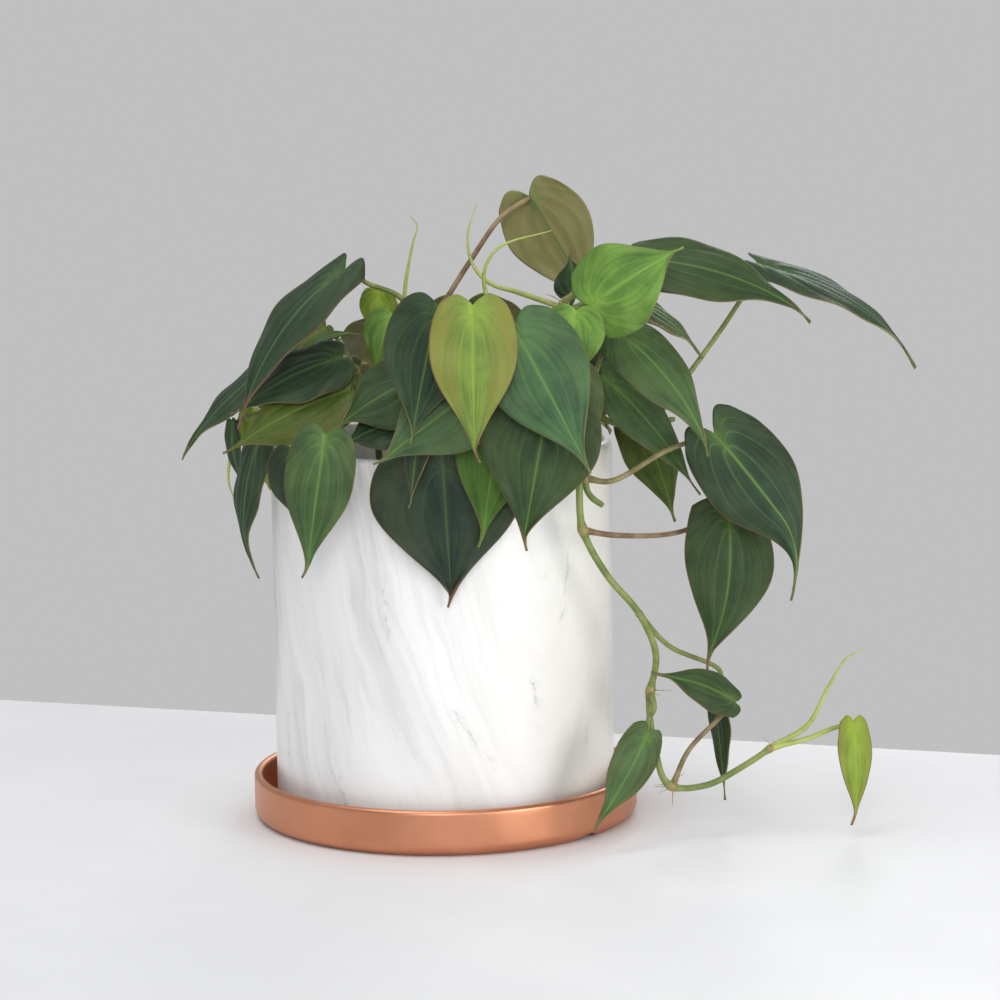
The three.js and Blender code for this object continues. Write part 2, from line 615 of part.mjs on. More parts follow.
addPiece("saucer", saucerGeometry(), finish(0xc98464, 0.35, 1));
addPiece("pot", potGeometry(), finish(0xe9e9e8, 0.25));
addPiece("soil", soilGeometry(), finish(0x2b211b, 1));
for (const vine of VINES) {
  addPiece(vine.name, vineGeometry(vine), finish(0x6b7a3a, 0.6));
  vine.leaves.forEach((leaf, i) => {
    const name = `${vine.name.replace("_vine", "")}_leaf_${i + 1}`;
    addPiece(name, bladeGeometry(leaf), finish(0x3d5a35, 0.7));
  });
}

export default plant;
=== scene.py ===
# The looks of a potted velvet-leaf philodendron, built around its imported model.
# Metres unless a name or comment says millimetres. +Z is up and -Y is the front of the plant.
import math

import bpy
from mathutils import Matrix, Vector


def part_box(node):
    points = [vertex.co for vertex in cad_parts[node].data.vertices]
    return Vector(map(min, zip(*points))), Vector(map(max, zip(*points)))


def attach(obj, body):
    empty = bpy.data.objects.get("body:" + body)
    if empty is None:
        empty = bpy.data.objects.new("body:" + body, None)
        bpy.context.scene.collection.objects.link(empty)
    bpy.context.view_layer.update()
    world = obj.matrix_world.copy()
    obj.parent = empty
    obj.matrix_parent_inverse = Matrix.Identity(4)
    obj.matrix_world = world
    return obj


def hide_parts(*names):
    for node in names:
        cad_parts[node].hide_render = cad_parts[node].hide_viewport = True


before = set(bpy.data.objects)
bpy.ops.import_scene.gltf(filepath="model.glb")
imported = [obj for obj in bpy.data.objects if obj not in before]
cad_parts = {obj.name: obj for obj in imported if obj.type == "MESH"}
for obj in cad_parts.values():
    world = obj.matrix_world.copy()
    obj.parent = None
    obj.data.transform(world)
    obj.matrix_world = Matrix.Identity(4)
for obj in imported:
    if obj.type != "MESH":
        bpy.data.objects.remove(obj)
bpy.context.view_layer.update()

MM = 0.001

# ---- sizes --------------------------------------------------------------------------------------

pot_low, pot_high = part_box("pot")
saucer_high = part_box("saucer")[1]
POT_RADIUS = pot_high.x
RIM_HEIGHT = pot_high.z
POT_FOOT = pot_low.z
SAUCER_RADIUS = saucer_high.x
SAUCER_HEIGHT = saucer_high.z
SOIL_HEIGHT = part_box("soil")[1].z

POT_WALL = 6 * MM
POT_FLOOR = 8 * MM
POT_FOOT_BEVEL = 1.5 * MM
POT_CORNER = 3 * MM  # round between the pot's inner wall and its floor
DRAIN_HOLE = 14 * MM
SAUCER_WALL = 3.8 * MM
SAUCER_FLOOR = 3.7 * MM
SAUCER_CORNER = 5 * MM
SAUCER_INNER_CORNER = 2 * MM
NOTCH_COUNT = 3
NOTCH_WIDTH = 13 * MM
NOTCH_RISE = 2.6 * MM
NOTCH_REACH = 9 * MM  # how far in from the saucer's edge a notch runs
NOTCH_RINGS = (9.2 * MM, 8.9 * MM)  # rings of points on either side of its inner end
FIRST_NOTCH = math.radians(-42)  # angle of the first notch about the upright axis, from +X

VINE_DIAMETER = 3.2 * MM
VINE_TIP_DIAMETER = 2.6 * MM
PETIOLE_DIAMETER = 2.5 * MM
PETIOLE_TIP_DIAMETER = 2 * MM
NODE_SWELL = 1.6
COLLAR_WIDTH = 2.6 * MM  # along the vine, of the swelling at a leaf node
BLADE_THICKNESS = 0.5 * MM

# The plant is drawn around a pot of this radius, and it spreads with the real one.
DRAWN_RADIUS = 75 * MM
POT_INNER = POT_RADIUS - POT_WALL

# ---- camera -------------------------------------------------------------------------------------

VIEW_CENTRE = Vector((0.0256, 0, 0.1395))
VIEW_DISTANCE = 1.395
VIEW_ELEVATION = math.radians(8.31)
VIEW_ROLL = math.radians(-0.68)
LENS = 113.9


def place_camera():
    forward = Vector((0, math.cos(VIEW_ELEVATION), -math.sin(VIEW_ELEVATION)))
    up = Vector((0, math.sin(VIEW_ELEVATION), math.cos(VIEW_ELEVATION)))
    right = Vector((1, 0, 0))
    rolled_right = right * math.cos(VIEW_ROLL) + up * math.sin(VIEW_ROLL)
    rolled_up = up * math.cos(VIEW_ROLL) - right * math.sin(VIEW_ROLL)
    camera = bpy.data.objects.new("camera", bpy.data.cameras.new("camera"))
    bpy.context.scene.collection.objects.link(camera)
    turn = Matrix((rolled_right, rolled_up, -forward)).transposed().to_4x4()
    camera.matrix_world = Matrix.Translation(VIEW_CENTRE - forward * VIEW_DISTANCE) @ turn
    camera.data.lens = LENS
    camera.data.clip_end = 20
    bpy.context.scene.camera = camera


place_camera()

# ---- how the plant was grown --------------------------------------------------------------------

# Every point is [across, depth, height above the rim] in millimetres. A vine rises from the soil at
# `foot` and passes through `path`. Its leaves leave it at `start`, a share of its length, and their
# petioles pass `via` on the way to the blade's base, `at`. A blade `points` along its midrib, its
# upper side looks along `face`, and it is `long` and `wide`. arch lifts the middle of the midrib,
# fold turns the halves down, bow bends it sideways, hook bends the tip sideways, and nod bends it
# back. tone is its colour, blush how golden its sides are, drip how long its tip is drawn out,
# flush how brown its petiole is, margin how red its edge is, lobe how far its lobes reach back, and
# ribs how clear its ribs and the painted light beside them are. slot is its finish where that is
# not the usual one for its tone. `nodes` are the shares of a vine's length where it swells, and
# `shoots` are young tips by their points.
VINES = {
    "trailing": {
        "foot": (30, -28),
        "path": [
            (40, -42, 4), (52, -60, 8), (58, -70, -6), (60, -70, -30), (70, -66, -50),
            (84, -62, -68), (91, -60, -86), (88, -60, -106), (90, -62, -124), (96, -62, -142),
            (112, -60, -143), (128, -56, -136), (141, -54, -128),
        ],
        "nodes": (0.36, 0.66, 0.82, 1),
        "leaves": [
            dict(start=0.36, via=[(74, -62, -34), (104, -34, -37)], at=(123, -38, -28),
                 points=(-0.16, -0.05, -0.98), face=(0.1, -0.97, 0.1), long=69, wide=39, arch=3,
                 fold=0.12, bow=-5, tone="deep", flush=1, margin=1),
            dict(start=0.82, via=[(105, -58, -128)], at=(125, -54, -108),
                 points=(-0.88, -0.24, 0.36), face=(0.2, -0.75, 0.6), long=40, wide=19, arch=4,
                 fold=0.2, tone="deep", flush=0.7),
            dict(start=0.53, via=[(98, -42, -86)], at=(117, -30, -107), points=(0.1, 0, -0.99),
                 face=(-0.85, -0.5, 0), long=50, wide=16, arch=2, fold=0.2, bow=-5, tone="dark"),
            dict(start=0.66, via=[(90, -66, -108)], at=(87, -72, -117), points=(-0.5, -0.3, -0.8),
                 face=(0.35, -0.9, 0.15), long=47, wide=20, arch=3, fold=0.15, tone="green",
                 blush=0.2),
            dict(start=1, via=[(156, -52, -125)], at=(176, -52, -118), points=(0, -0.18, -0.98),
                 face=(0.25, -0.96, 0), long=44, wide=15, arch=2, fold=0.1, tone="lime", blush=0.6,
                 flush=0, margin=1),
        ],
        "shoots": [
            [(140, -54, -128), (156, -53, -119), (165, -54, -102), (173, -55, -89),
             (181, -56, -85)],
        ],
    },
    "cut": {
        "foot": (46, -16),
        "path": [(52, -30, 4), (57, -46, 12), (60, -60, 0), (63, -64, -16), (69, -65, -21)],
        "nodes": (0.84,),
        "leaves": [
            dict(start=0.84, via=[(72, -62, -11), (96, -50, 0)], at=(117, -48, 7),
                 points=(0.6, -0.08, -0.79), face=(0.05, -0.95, 0.3), long=76, wide=40, arch=4,
                 fold=0.12, lobe=0.12, hook=17, tone="dark", drip=2.4, flush=0.6, ribs=1.6,
                 margin=0.6),
            dict(start=0.5, via=[(59, -54, 24)], at=(54, -68, 38), points=(0.05, -0.1, -1),
                 face=(0.25, -0.95, 0.1), long=45, wide=30, arch=3, fold=0.12, tone="green",
                 blush=0.2, slot="velvet_leaf"),
        ],
        "shoots": [],
    },
    "right": {
        "foot": (34, 4),
        "path": [(48, -4, 4), (62, -14, 12), (82, -20, 7), (102, -12, 9)],
        "nodes": (0.55, 0.78),
        "leaves": [
            dict(start=0.78, via=[(96, -20, 14), (104, -18, 24), (122, -15, 48)], at=(141, -14, 74),
                 points=(0.84, -0.05, -0.54), face=(0.35, -0.24, 0.9), long=78, wide=36, arch=9,
                 fold=0.1, lobe=0.12, tone="dark"),
            dict(start=0.46, via=[(66, -22, 22)], at=(70, -30, 30), points=(0.62, -0.14, -0.77),
                 face=(0.3, -0.75, 0.55), long=66, wide=24, arch=5, fold=0.15, tone="grey"),
            dict(start=0.62, via=[(82, -8, 20), (88, 4, 18)], at=(86, -3, 10),
                 points=(0.32, -0.08, -0.93), face=(0.4, -0.9, 0.1), long=50, wide=28, arch=3,
                 fold=0.12, tone="olive", slot="velvet_leaf"),
            dict(start=0.4, via=[(63, -43, 22), (69, -49, 40)], at=(75, -52, 52),
                 points=(0.6, -0.12, -0.79), face=(0.25, -0.75, 0.6), long=66, wide=29, arch=8,
                 fold=0.15, tone="green", slot="velvet_leaf"),
            dict(start=0.3, via=[(58, -12, 28)], at=(64, -11, 45), points=(0.86, -0.02, -0.5),
                 face=(0.2, -0.75, 0.6), long=43, wide=32, arch=4, fold=0.12, tone="dark"),
        ],
        "shoots": [
            [(62, -14, 12), (72, -10, 13), (84, -7, 13)],
        ],
    },
    "crown": {
        "foot": (20, -10),
        "path": [(28, -16, 12), (36, -22, 34), (54, -28, 62)],
        "nodes": (0.5, 0.8, 1),
        "leaves": [
            dict(start=0.8, via=[(54, -44, 58)], at=(64, -64, 63), points=(0.83, -0.04, 0.52),
                 face=(-0.05, -0.92, 0.38), long=46, wide=40, arch=3, fold=0.08, tone="bright",
                 ribs=1.3),
            dict(start=0.7, via=[(50, -48, 54)], at=(58, -72, 62), points=(-0.12, -0.12, -0.98),
                 face=(-0.1, -0.92, 0.35), long=34, wide=26, arch=2, fold=0.1, tone="bright",
                 ribs=1.2),
            dict(start=1, via=[(68, -32, 72)], at=(86, -36, 80), points=(0.94, -0.1, -0.32),
                 face=(0.2, -0.68, 0.7), long=77, wide=34, arch=8, fold=0.14, tone="deep"),
            dict(start=0.9, via=[(66, -22, 62)], at=(81, -20, 62), points=(0.78, 0, -0.62),
                 face=(0.5, -0.35, 0.8), long=42, wide=24, arch=4, fold=0.1, tone="green",
                 blush=0.5, slot="velvet_leaf"),
            dict(start=0.95, via=[(57, -10, 58)], at=(59, -14, 63), points=(-0.1, 0, 0.98),
                 face=(0, -0.98, 0), long=19, wide=17, arch=1, fold=0.1, tone="dark"),
        ],
        "shoots": [
            [(52, -28, 60), (34, -23, 66), (22, -21, 70), (15, -20, 78), (13, -20, 90),
             (17, -20, 104)],
            [(36, -22, 34), (22, -38, 62), (20, -40, 76), (26, -39, 86), (49, -35, 93)],
        ],
    },
    "rear": {
        "foot": (-2, 16),
        "path": [(-2, 16, 12), (-1, 13, 36), (0, 10, 56)],
        "nodes": (0.45, 0.7, 1),
        "leaves": [
            dict(start=1, via=[(13, 14, 76), (27, 24, 95)], at=(40, 30, 104.5),
                 points=(0.48, 0.05, -0.87), face=(0.1, 0.92, 0.38), long=60, wide=40, arch=3,
                 fold=0.08, lobe=0.1, tone="dark", flush=1),
            dict(start=0.7, via=[(-10, 28, 46)], at=(-18, 40, 50), points=(-0.35, 0.7, -0.62),
                 face=(-0.15, 0.6, 0.78), long=68, wide=44, arch=4, fold=0.1, tone="deep"),
            dict(start=0.8, via=[(6, 26, 54)], at=(12, 40, 57), points=(0.2, 0.72, -0.66),
                 face=(0.1, 0.6, 0.78), long=76, wide=50, arch=4, fold=0.1, tone="green",
                 slot="velvet_leaf"),
            dict(start=0.45, via=[(20, 24, 26)], at=(38, 34, 33), points=(0.62, 0.5, -0.6),
                 face=(0.4, 0.5, 0.76), long=64, wide=44, arch=4, fold=0.1, tone="deep"),
            dict(start=0.4, via=[(-18, 24, 24)], at=(-36, 32, 31), points=(-0.58, 0.5, -0.64),
                 face=(-0.4, 0.5, 0.76), long=60, wide=42, arch=4, fold=0.1, tone="dark"),
        ],
        "shoots": [],
    },
    "upright": {
        "foot": (-12, -2),
        "path": [(-12, -4, 12), (-12, -8, 36), (-11, -12, 58)],
        "nodes": (0.6, 1),
        "leaves": [
            dict(start=1, via=[(-18, -16, 65), (-32, -24, 72)], at=(-40, -28, 76),
                 points=(-0.54, -0.3, -0.78), face=(-0.66, -0.58, 0.48), long=82, wide=34, arch=9,
                 fold=0.12, lobe=0.1, tone="dark", margin=0.8),
            dict(start=0.95, via=[(-8, -40, 64), (-4, -66, 66)], at=(1, -87, 66),
                 points=(-0.2, -0.1, -0.97), face=(-0.1, -0.98, 0.15), long=58, wide=38, arch=3,
                 fold=0.1, tone="dark"),
            dict(start=0.9, via=[(-19, -4, 61)], at=(-26, -6, 66), points=(-0.05, -0.1, -0.98),
                 face=(-0.1, -0.95, 0.2), long=22, wide=16, arch=2, fold=0.1, tone="lime"),
            dict(start=0.75, via=[(-16, -14, 52)], at=(-20, -20, 57), points=(-0.3, -0.1, -0.92),
                 face=(-0.1, -0.95, 0.3), long=27, wide=20, arch=2, fold=0.1, tone="bright"),
            dict(start=0.6, via=[(-18, -12, 40)], at=(-22, -4, 43), points=(-0.2, 0.1, -0.95),
                 face=(-0.1, 0.95, 0.2), long=20, wide=20, arch=2, fold=0.1, tone="olive",
                 slot="velvet_leaf"),
        ],
        "shoots": [
            [(-12, -8, 36), (-15, -2, 62), (-11, -2, 86), (-9, -2, 94), (-12, -3, 98)],
        ],
    },
    "left": {
        "foot": (-26, -10),
        "path": [(-28, -14, 6), (-32, -20, 22), (-36, -24, 34)],
        "nodes": (0.6, 1),
        "leaves": [
            dict(start=1, via=[(-38, -30, 37)], at=(-41, -40, 40), points=(-0.88, -0.08, -0.45),
                 face=(-0.2, -0.5, 0.85), long=53, wide=38, arch=4, fold=0.12, tone="dark"),
            dict(start=0.9, via=[(-50, -16, 34), (-63, -10, 35)], at=(-74, -8, 34),
                 points=(-0.7, -0.04, -0.7), face=(-0.4, -0.35, 0.8), long=56, wide=26, arch=3,
                 fold=0.12, tone="dark"),
            dict(start=0.7, via=[(-33, -36, 24)], at=(-37, -51, 27.5), points=(-0.87, 0.04, -0.44),
                 face=(-0.1, -0.75, 0.6), long=61, wide=34, arch=5, fold=0.12, tone="olive",
                 blush=0.4),
            dict(start=0.85, via=[(-44, -14, 40)], at=(-54, -8, 44), points=(0.95, 0, 0.16),
                 face=(0, -0.5, 0.86), long=20, wide=6, arch=2, fold=0.05, tone="green"),
            dict(start=0.8, via=[(-42, -6, 42)], at=(-50, 2, 50), points=(-0.7, 0, -0.7),
                 face=(-0.5, -0.6, 0.6), long=34, wide=22, arch=2, fold=0.1, tone="olive"),
        ],
        "shoots": [],
    },
    "outer_left": {
        "foot": (-42, -10),
        "path": [(-52, -12, 6), (-64, -10, 14), (-76, -4, 13), (-86, 4, 10)],
        "nodes": (0.55, 0.8, 1),
        "leaves": [
            dict(start=0.6, via=[(-72, -14, 12)], at=(-77, -20, 6), points=(-0.12, -0.02, -0.99),
                 face=(-0.85, -0.5, 0.1), long=62, wide=28, arch=3, fold=0.1, bow=4, hook=-8,
                 tone="dark"),
            dict(start=1, via=[], at=(-92, 5, 8), points=(0.15, 0, -0.98), face=(-0.8, -0.6, 0),
                 long=30, wide=12, arch=2, fold=0.1, tone="dark"),
            dict(start=0.85, via=[(-82, 12, 14)], at=(-84, 20, 12), points=(0, 0.1, -0.98),
                 face=(-0.3, -0.9, 0), long=25, wide=14, arch=2, fold=0.1, tone="lime"),
            dict(start=0.75, via=[(-74, 14, 10), (-76, 26, 4)], at=(-80, 34, -3),
                 points=(0.05, 0.05, -0.98), face=(-0.4, -0.9, 0), long=24, wide=16, arch=2,
                 fold=0.1, tone="lime"),
            dict(start=0.2, via=[(-46, -40, 8), (-47, -60, 5), (-46, -74, 4)], at=(-46, -86, 13),
                 points=(-0.15, 0.02, -0.98), face=(-0.05, -0.98, 0.12), long=61, wide=29, arch=3,
                 fold=0.1, tone="green", margin=0.5),
            dict(start=0.3, via=[(-58, -34, 8)], at=(-60, -64, 4), points=(0.08, 0, -1),
                 face=(-0.4, -0.9, 0), long=36, wide=28, arch=2, fold=0.08, tone="black"),
        ],
        "shoots": [
            [(-86, 4, 10), (-91, 11, 5), (-94, 14, -8), (-95, 14, -20), (-92, 13, -29)],
        ],
    },
    "front": {
        "foot": (0, -30),
        "path": [(1, -38, 4), (2, -50, 20), (4, -56, 36)],
        "nodes": (0.6, 1),
        "leaves": [
            dict(start=0.5, via=[(0, -62, 12)], at=(2, -80, 4), points=(0.05, 0.02, -0.99),
                 face=(-0.05, -0.99, 0.06), long=65, wide=63, arch=2, fold=0.14, tone="black",
                 margin=1, ribs=0.5),
            dict(start=1, via=[(18, -74, 50), (19, -90, 60)], at=(15.5, -100, 67),
                 points=(0, -0.1, -0.99), face=(0, -0.99, 0.12), long=64, wide=36, arch=3,
                 fold=0.1, tone="gold", blush=1, margin=1),
            dict(start=0.9, via=[(12, -68, 34)], at=(20, -86, 34), points=(-0.8, -0.08, -0.59),
                 face=(-0.05, -0.96, 0.2), long=57, wide=38, arch=3, fold=0.1, tone="grey",
                 margin=0.4),
            dict(start=0.8, via=[(-4, -56, 32)], at=(-9, -60, 33), points=(-0.84, -0.16, -0.5),
                 face=(-0.2, -0.75, 0.6), long=40, wide=38, arch=3, fold=0.3, tone="deep"),
            dict(start=0.6, via=[(-6, -58, 20)], at=(-16, -66, 15), points=(-0.92, 0, -0.35),
                 face=(0, -0.7, 0.7), long=26, wide=22, arch=2, fold=0.12, tone="dark"),
            dict(start=0.65, via=[(-1, -68, 22)], at=(-5, -82, 21), points=(-0.16, -0.06, -0.98),
                 face=(-0.5, -0.85, 0), long=40, wide=13, arch=2, fold=0.15, tone="black"),
        ],
        "shoots": [],
    },
    "front_right": {
        "foot": (22, -34),
        "path": [(25, -42, 4), (29, -52, 20), (33, -58, 36)],
        "nodes": (0.6, 1),
        "leaves": [
            dict(start=1, via=[(34, -76, 50)], at=(32, -95, 58), points=(0.45, -0.1, -0.88),
                 face=(0.05, -0.98, 0.15), long=68, wide=43, arch=3, fold=0.1, tone="blue"),
            dict(start=0.7, via=[(28, -66, 24)], at=(26, -80, 24), points=(-0.14, -0.06, -0.99),
                 face=(0, -0.99, 0.05), long=60, wide=33, arch=2, fold=0.1, tone="fresh"),
            dict(start=0.85, via=[(36, -72, 31)], at=(46, -88, 29), points=(-0.18, -0.1, -0.97),
                 face=(0.1, -0.98, 0.12), long=65, wide=50, arch=3, fold=0.1, tone="deep",
                 margin=0.5),
        ],
        "shoots": [],
    },
}

# The upper side's colour of each kind of leaf.
TONES = {
    "black": (0.029, 0.048, 0.031),
    "dark": (0.028, 0.058, 0.029),
    "deep": (0.036, 0.070, 0.025),
    "green": (0.060, 0.114, 0.040),
    "fresh": (0.064, 0.145, 0.022),
    "bright": (0.128, 0.258, 0.048),
    "gold": (0.165, 0.255, 0.046),
    "lime": (0.195, 0.280, 0.030),
    "olive": (0.075, 0.115, 0.024),
    "grey": (0.058, 0.112, 0.044),
    "blue": (0.060, 0.132, 0.054),
}
YOUNG_TONES = ("lime", "olive", "gold")
BRIGHT_TONES = ("bright", "fresh", "green")

# ---- arithmetic in node trees -------------------------------------------------------------------


def feed(tree, socket, term):
    """Joins a value to a socket, or sets the socket to a plain number or colour."""
    if isinstance(term, Value):
        tree.links.new(term.socket, socket)
    else:
        socket.default_value = term


def number(tree, operation, *terms, clamp=False):
    node = tree.nodes.new("ShaderNodeMath")
    node.operation = operation
    node.use_clamp = clamp
    for socket, term in zip(node.inputs, terms):
        feed(tree, socket, term)
    return Value(tree, node.outputs[0])


class Value:
    """A number that a node tree works out at each point, with ordinary arithmetic."""

    def __init__(self, tree, socket):
        self.tree = tree
        self.socket = socket

    def __add__(self, other):
        return number(self.tree, "ADD", self, other)

    def __radd__(self, other):
        return number(self.tree, "ADD", other, self)

    def __sub__(self, other):
        return number(self.tree, "SUBTRACT", self, other)

    def __rsub__(self, other):
        return number(self.tree, "SUBTRACT", other, self)

    def __mul__(self, other):
        return number(self.tree, "MULTIPLY", self, other)

    def __rmul__(self, other):
        return number(self.tree, "MULTIPLY", other, self)

    def __truediv__(self, other):
        return number(self.tree, "DIVIDE", self, other)

    def __pow__(self, other):
        return number(self.tree, "POWER", self, other)

    def __neg__(self):
        return number(self.tree, "MULTIPLY", self, -1)

    def __abs__(self):
        return number(self.tree, "ABSOLUTE", self)

    def do(self, operation, *others):
        return number(self.tree, operation, self, *others)

    def above(self, least):
        return number(self.tree, "MAXIMUM", self, least)

    def clamped(self):
        return number(self.tree, "ADD", self, 0, clamp=True)

    def step(self, low, high, start=0.0, end=1.0):
        """Goes smoothly from `start` to `end` as this value goes from low to high."""
        node = self.tree.nodes.new("ShaderNodeMapRange")
        node.interpolation_type = "SMOOTHSTEP"
        for label, term in (("Value", self), ("From Min", low), ("From Max", high),
                            ("To Min", start), ("To Max", end)):
            feed(self.tree, node.inputs[label], term)
        return Value(self.tree, node.outputs[0])

    def bell(self, width):
        """1 where this value is 0, falling off smoothly over `width`."""
        share = self / width
        return number(self.tree, "EXPONENT", -(share * share))


def split(tree, value):
    node = tree.nodes.new("ShaderNodeSeparateXYZ")
    feed(tree, node.inputs[0], value)
    return [Value(tree, output) for output in node.outputs]


def joined(tree, x, y, z):
    node = tree.nodes.new("ShaderNodeCombineXYZ")
    for socket, term in zip(node.inputs, (x, y, z)):
        feed(tree, socket, term)
    return Value(tree, node.outputs[0])


def scaled(tree, value, factor):
    node = tree.nodes.new("ShaderNodeVectorMath")
    node.operation = "SCALE"
    feed(tree, node.inputs[0], value)
    feed(tree, node.inputs["Scale"], factor)
    return Value(tree, node.outputs[0])


def total(tree, *values):
    whole = values[0]
    for value in values[1:]:
        node = tree.nodes.new("ShaderNodeVectorMath")
        feed(tree, node.inputs[0], whole)
        feed(tree, node.inputs[1], value)
        whole = Value(tree, node.outputs[0])
    return whole


def noise(tree, place, scale, detail=3.0, roughness=0.55):
    """Soft random values around 0.5 at a place, with `scale` features to a metre."""
    node = tree.nodes.new("ShaderNodeTexNoise")
    feed(tree, node.inputs["Vector"], place)
    feed(tree, node.inputs["Scale"], scale)
    feed(tree, node.inputs["Detail"], detail)
    feed(tree, node.inputs["Roughness"], roughness)
    return Value(tree, node.outputs[0])


def mixed(tree, share, first, second, blend="MIX"):
    """A colour between two others."""
    node = tree.nodes.new("ShaderNodeMix")
    node.data_type = "RGBA"
    node.blend_type = blend
    node.clamp_factor = True
    for socket, term in ((node.inputs[0], share), (node.inputs[6], first), (node.inputs[7], second)):
        if isinstance(term, tuple):
            term = (*term, 1.0)
        feed(tree, socket, term)
    return Value(tree, node.outputs[2])


# ---- geometry trees -----------------------------------------------------------------------------

SOCKET_KINDS = {float: "NodeSocketFloat", int: "NodeSocketInt", tuple: "NodeSocketVector"}


def new_tree(name, inputs):
    """A geometry tree with a geometry input, these named inputs with their defaults, and a material."""
    tree = bpy.data.node_groups.new(name, "GeometryNodeTree")
    tree.is_modifier = True
    tree.interface.new_socket("Geometry", in_out="INPUT", socket_type="NodeSocketGeometry")
    tree.interface.new_socket("Geometry", in_out="OUTPUT", socket_type="NodeSocketGeometry")
    for label, default in inputs.items():
        kind = SOCKET_KINDS[type(default)]
        socket = tree.interface.new_socket(label, in_out="INPUT", socket_type=kind)
        socket.default_value = default
    tree.interface.new_socket("Material", in_out="INPUT", socket_type="NodeSocketMaterial")
    source = tree.nodes.new("NodeGroupInput")
    given = {output.name: Value(tree, output) for output in source.outputs if output.name}
    return tree, given


def step_node(tree, kind, settings=None, **terms):
    """Adds a node, sets its own settings, and feeds its inputs by name, with _ for a space."""
    node = tree.nodes.new(kind)
    for label, setting in (settings or {}).items():
        setattr(node, label, setting)
    for label, term in terms.items():
        feed(tree, node.inputs[label.replace("_", " ")], term)
    return node


def first(tree, node):
    return Value(tree, node.outputs[0])


def made(tree, kind, **terms):
    """Adds a node with these inputs and gives its first output."""
    return first(tree, step_node(tree, kind, **terms))


def stored(tree, geometry, name, value, data_type="FLOAT", domain="POINT"):
    node = tree.nodes.new("GeometryNodeStoreNamedAttribute")
    node.data_type = data_type
    node.domain = domain
    feed(tree, node.inputs["Geometry"], geometry)
    feed(tree, node.inputs["Name"], name)
    feed(tree, node.inputs["Value"], value)
    return Value(tree, node.outputs[0])


def finish_tree(tree, geometry, material):
    """Ends a tree: real geometry, smooth faces, one material."""
    real = made(tree, "GeometryNodeRealizeInstances", Geometry=geometry)
    smooth = made(tree, "GeometryNodeSetShadeSmooth", Geometry=real)
    painted = step_node(tree, "GeometryNodeSetMaterial", Geometry=smooth, Material=material)
    out = tree.nodes.new("NodeGroupOutput")
    tree.links.new(painted.outputs[0], out.inputs[0])


def grown(name, mesh, tree, material, **values):
    """The plain mesh object that a geometry tree makes from `mesh` with these input values."""
    seed = bpy.data.objects.new(name + "_seed", mesh)
    bpy.context.scene.collection.objects.link(seed)
    modifier = seed.modifiers.new("grow", "NODES")
    modifier.node_group = tree
    keys = {item.name: item.identifier for item in tree.interface.items_tree if item.in_out == "INPUT"}
    for label, value in values.items():
        modifier[keys[label.replace("_", " ")]] = value
    modifier[keys["Material"]] = material
    depsgraph = bpy.context.evaluated_depsgraph_get()
    made = bpy.data.meshes.new_from_object(seed.evaluated_get(depsgraph), depsgraph=depsgraph)
    made.name = name
    seed.modifiers.remove(modifier)
    bpy.data.objects.remove(seed)
    piece = bpy.data.objects.new(name, made)
    bpy.context.scene.collection.objects.link(piece)
    return piece


# ---- leaf blades --------------------------------------------------------------------------------

WIDEST = 0.27  # share of the midrib, from the base, where a blade is widest
BASE_SHARE = 0.76  # its width at the base against its greatest width
LOBE_DEPTH = 0.07  # how far the two lobes reach behind the base, against the length
DRIP = 2.1  # how quickly an ordinary blade narrows to its tip
RIB_SPACING = 0.235  # between side ribs, as a share of the way they fan out
RIB_FAN = 0.22  # share of the midrib over which the side ribs fan out
TIP_CURL = 0.035  # how far the very tip curls aside, against the length
INNER_RIB_START = 0.12  # share of the midrib where the innermost side ribs leave it
TIP_START = 0.6  # share of the midrib where a hook or nod begins
CURL_START = 0.86  # and where the curl of the very tip begins
CURL_SPREAD = 2.4  # makes the curls of one blade and the next differ
FOLD_SOFTNESS = 3 * MM  # how far from the midrib the fold is still rounded
PUFF_WIDTH = 2.2 * MM  # from a rib to the top of the quilting beside it
MIDRIB_WIDTH = 1.6 * MM
MIDRIB_DEPTH = 1.2  # the groove over the midrib, against the height of the quilting
MARGIN_ROLL = 0.12  # how far the margins roll up and down, against the width
TIP_THICKNESS = 0.3  # against the thickness of the rest
ROWS = 73
COLUMNS = 41


def outline(s, drip):
    """Half the blade's width at the share s of its midrib, against its greatest half width."""
    back = ((WIDEST - s) / WIDEST).above(0)
    on = ((s - WIDEST) / (1 - WIDEST)).above(0)
    base = (1 - (1 - BASE_SHARE**2) * back * back).do("SQRT")
    taper = ((on ** 1.1) * (math.pi / 2)).do("COSINE").above(0) ** drip
    return base * taper


def rib_pattern(s, out_share, half_width):
    """Where the side ribs run: how far out each point is in the fan, and the distance from the
    nearest rib, in the units of half_width. out_share is 0 at the midrib and 1 at the margin."""
    start = (-6 * out_share).do("EXPONENT") * INNER_RIB_START
    spread = 1 - (-(s - start).above(0.002) / RIB_FAN).do("EXPONENT")
    fan = out_share / spread
    turned = fan.do("ARCTANGENT") * (2 / math.pi)
    place = turned / RIB_SPACING
    off = abs((place + 0.5).do("FRACT") - 0.5)
    off = number(s.tree, "MAXIMUM", off, (0.6 - place) * 4)
    distance = off * RIB_SPACING * (1 + fan * fan) * spread * (math.pi / 2) * half_width
    return place, distance


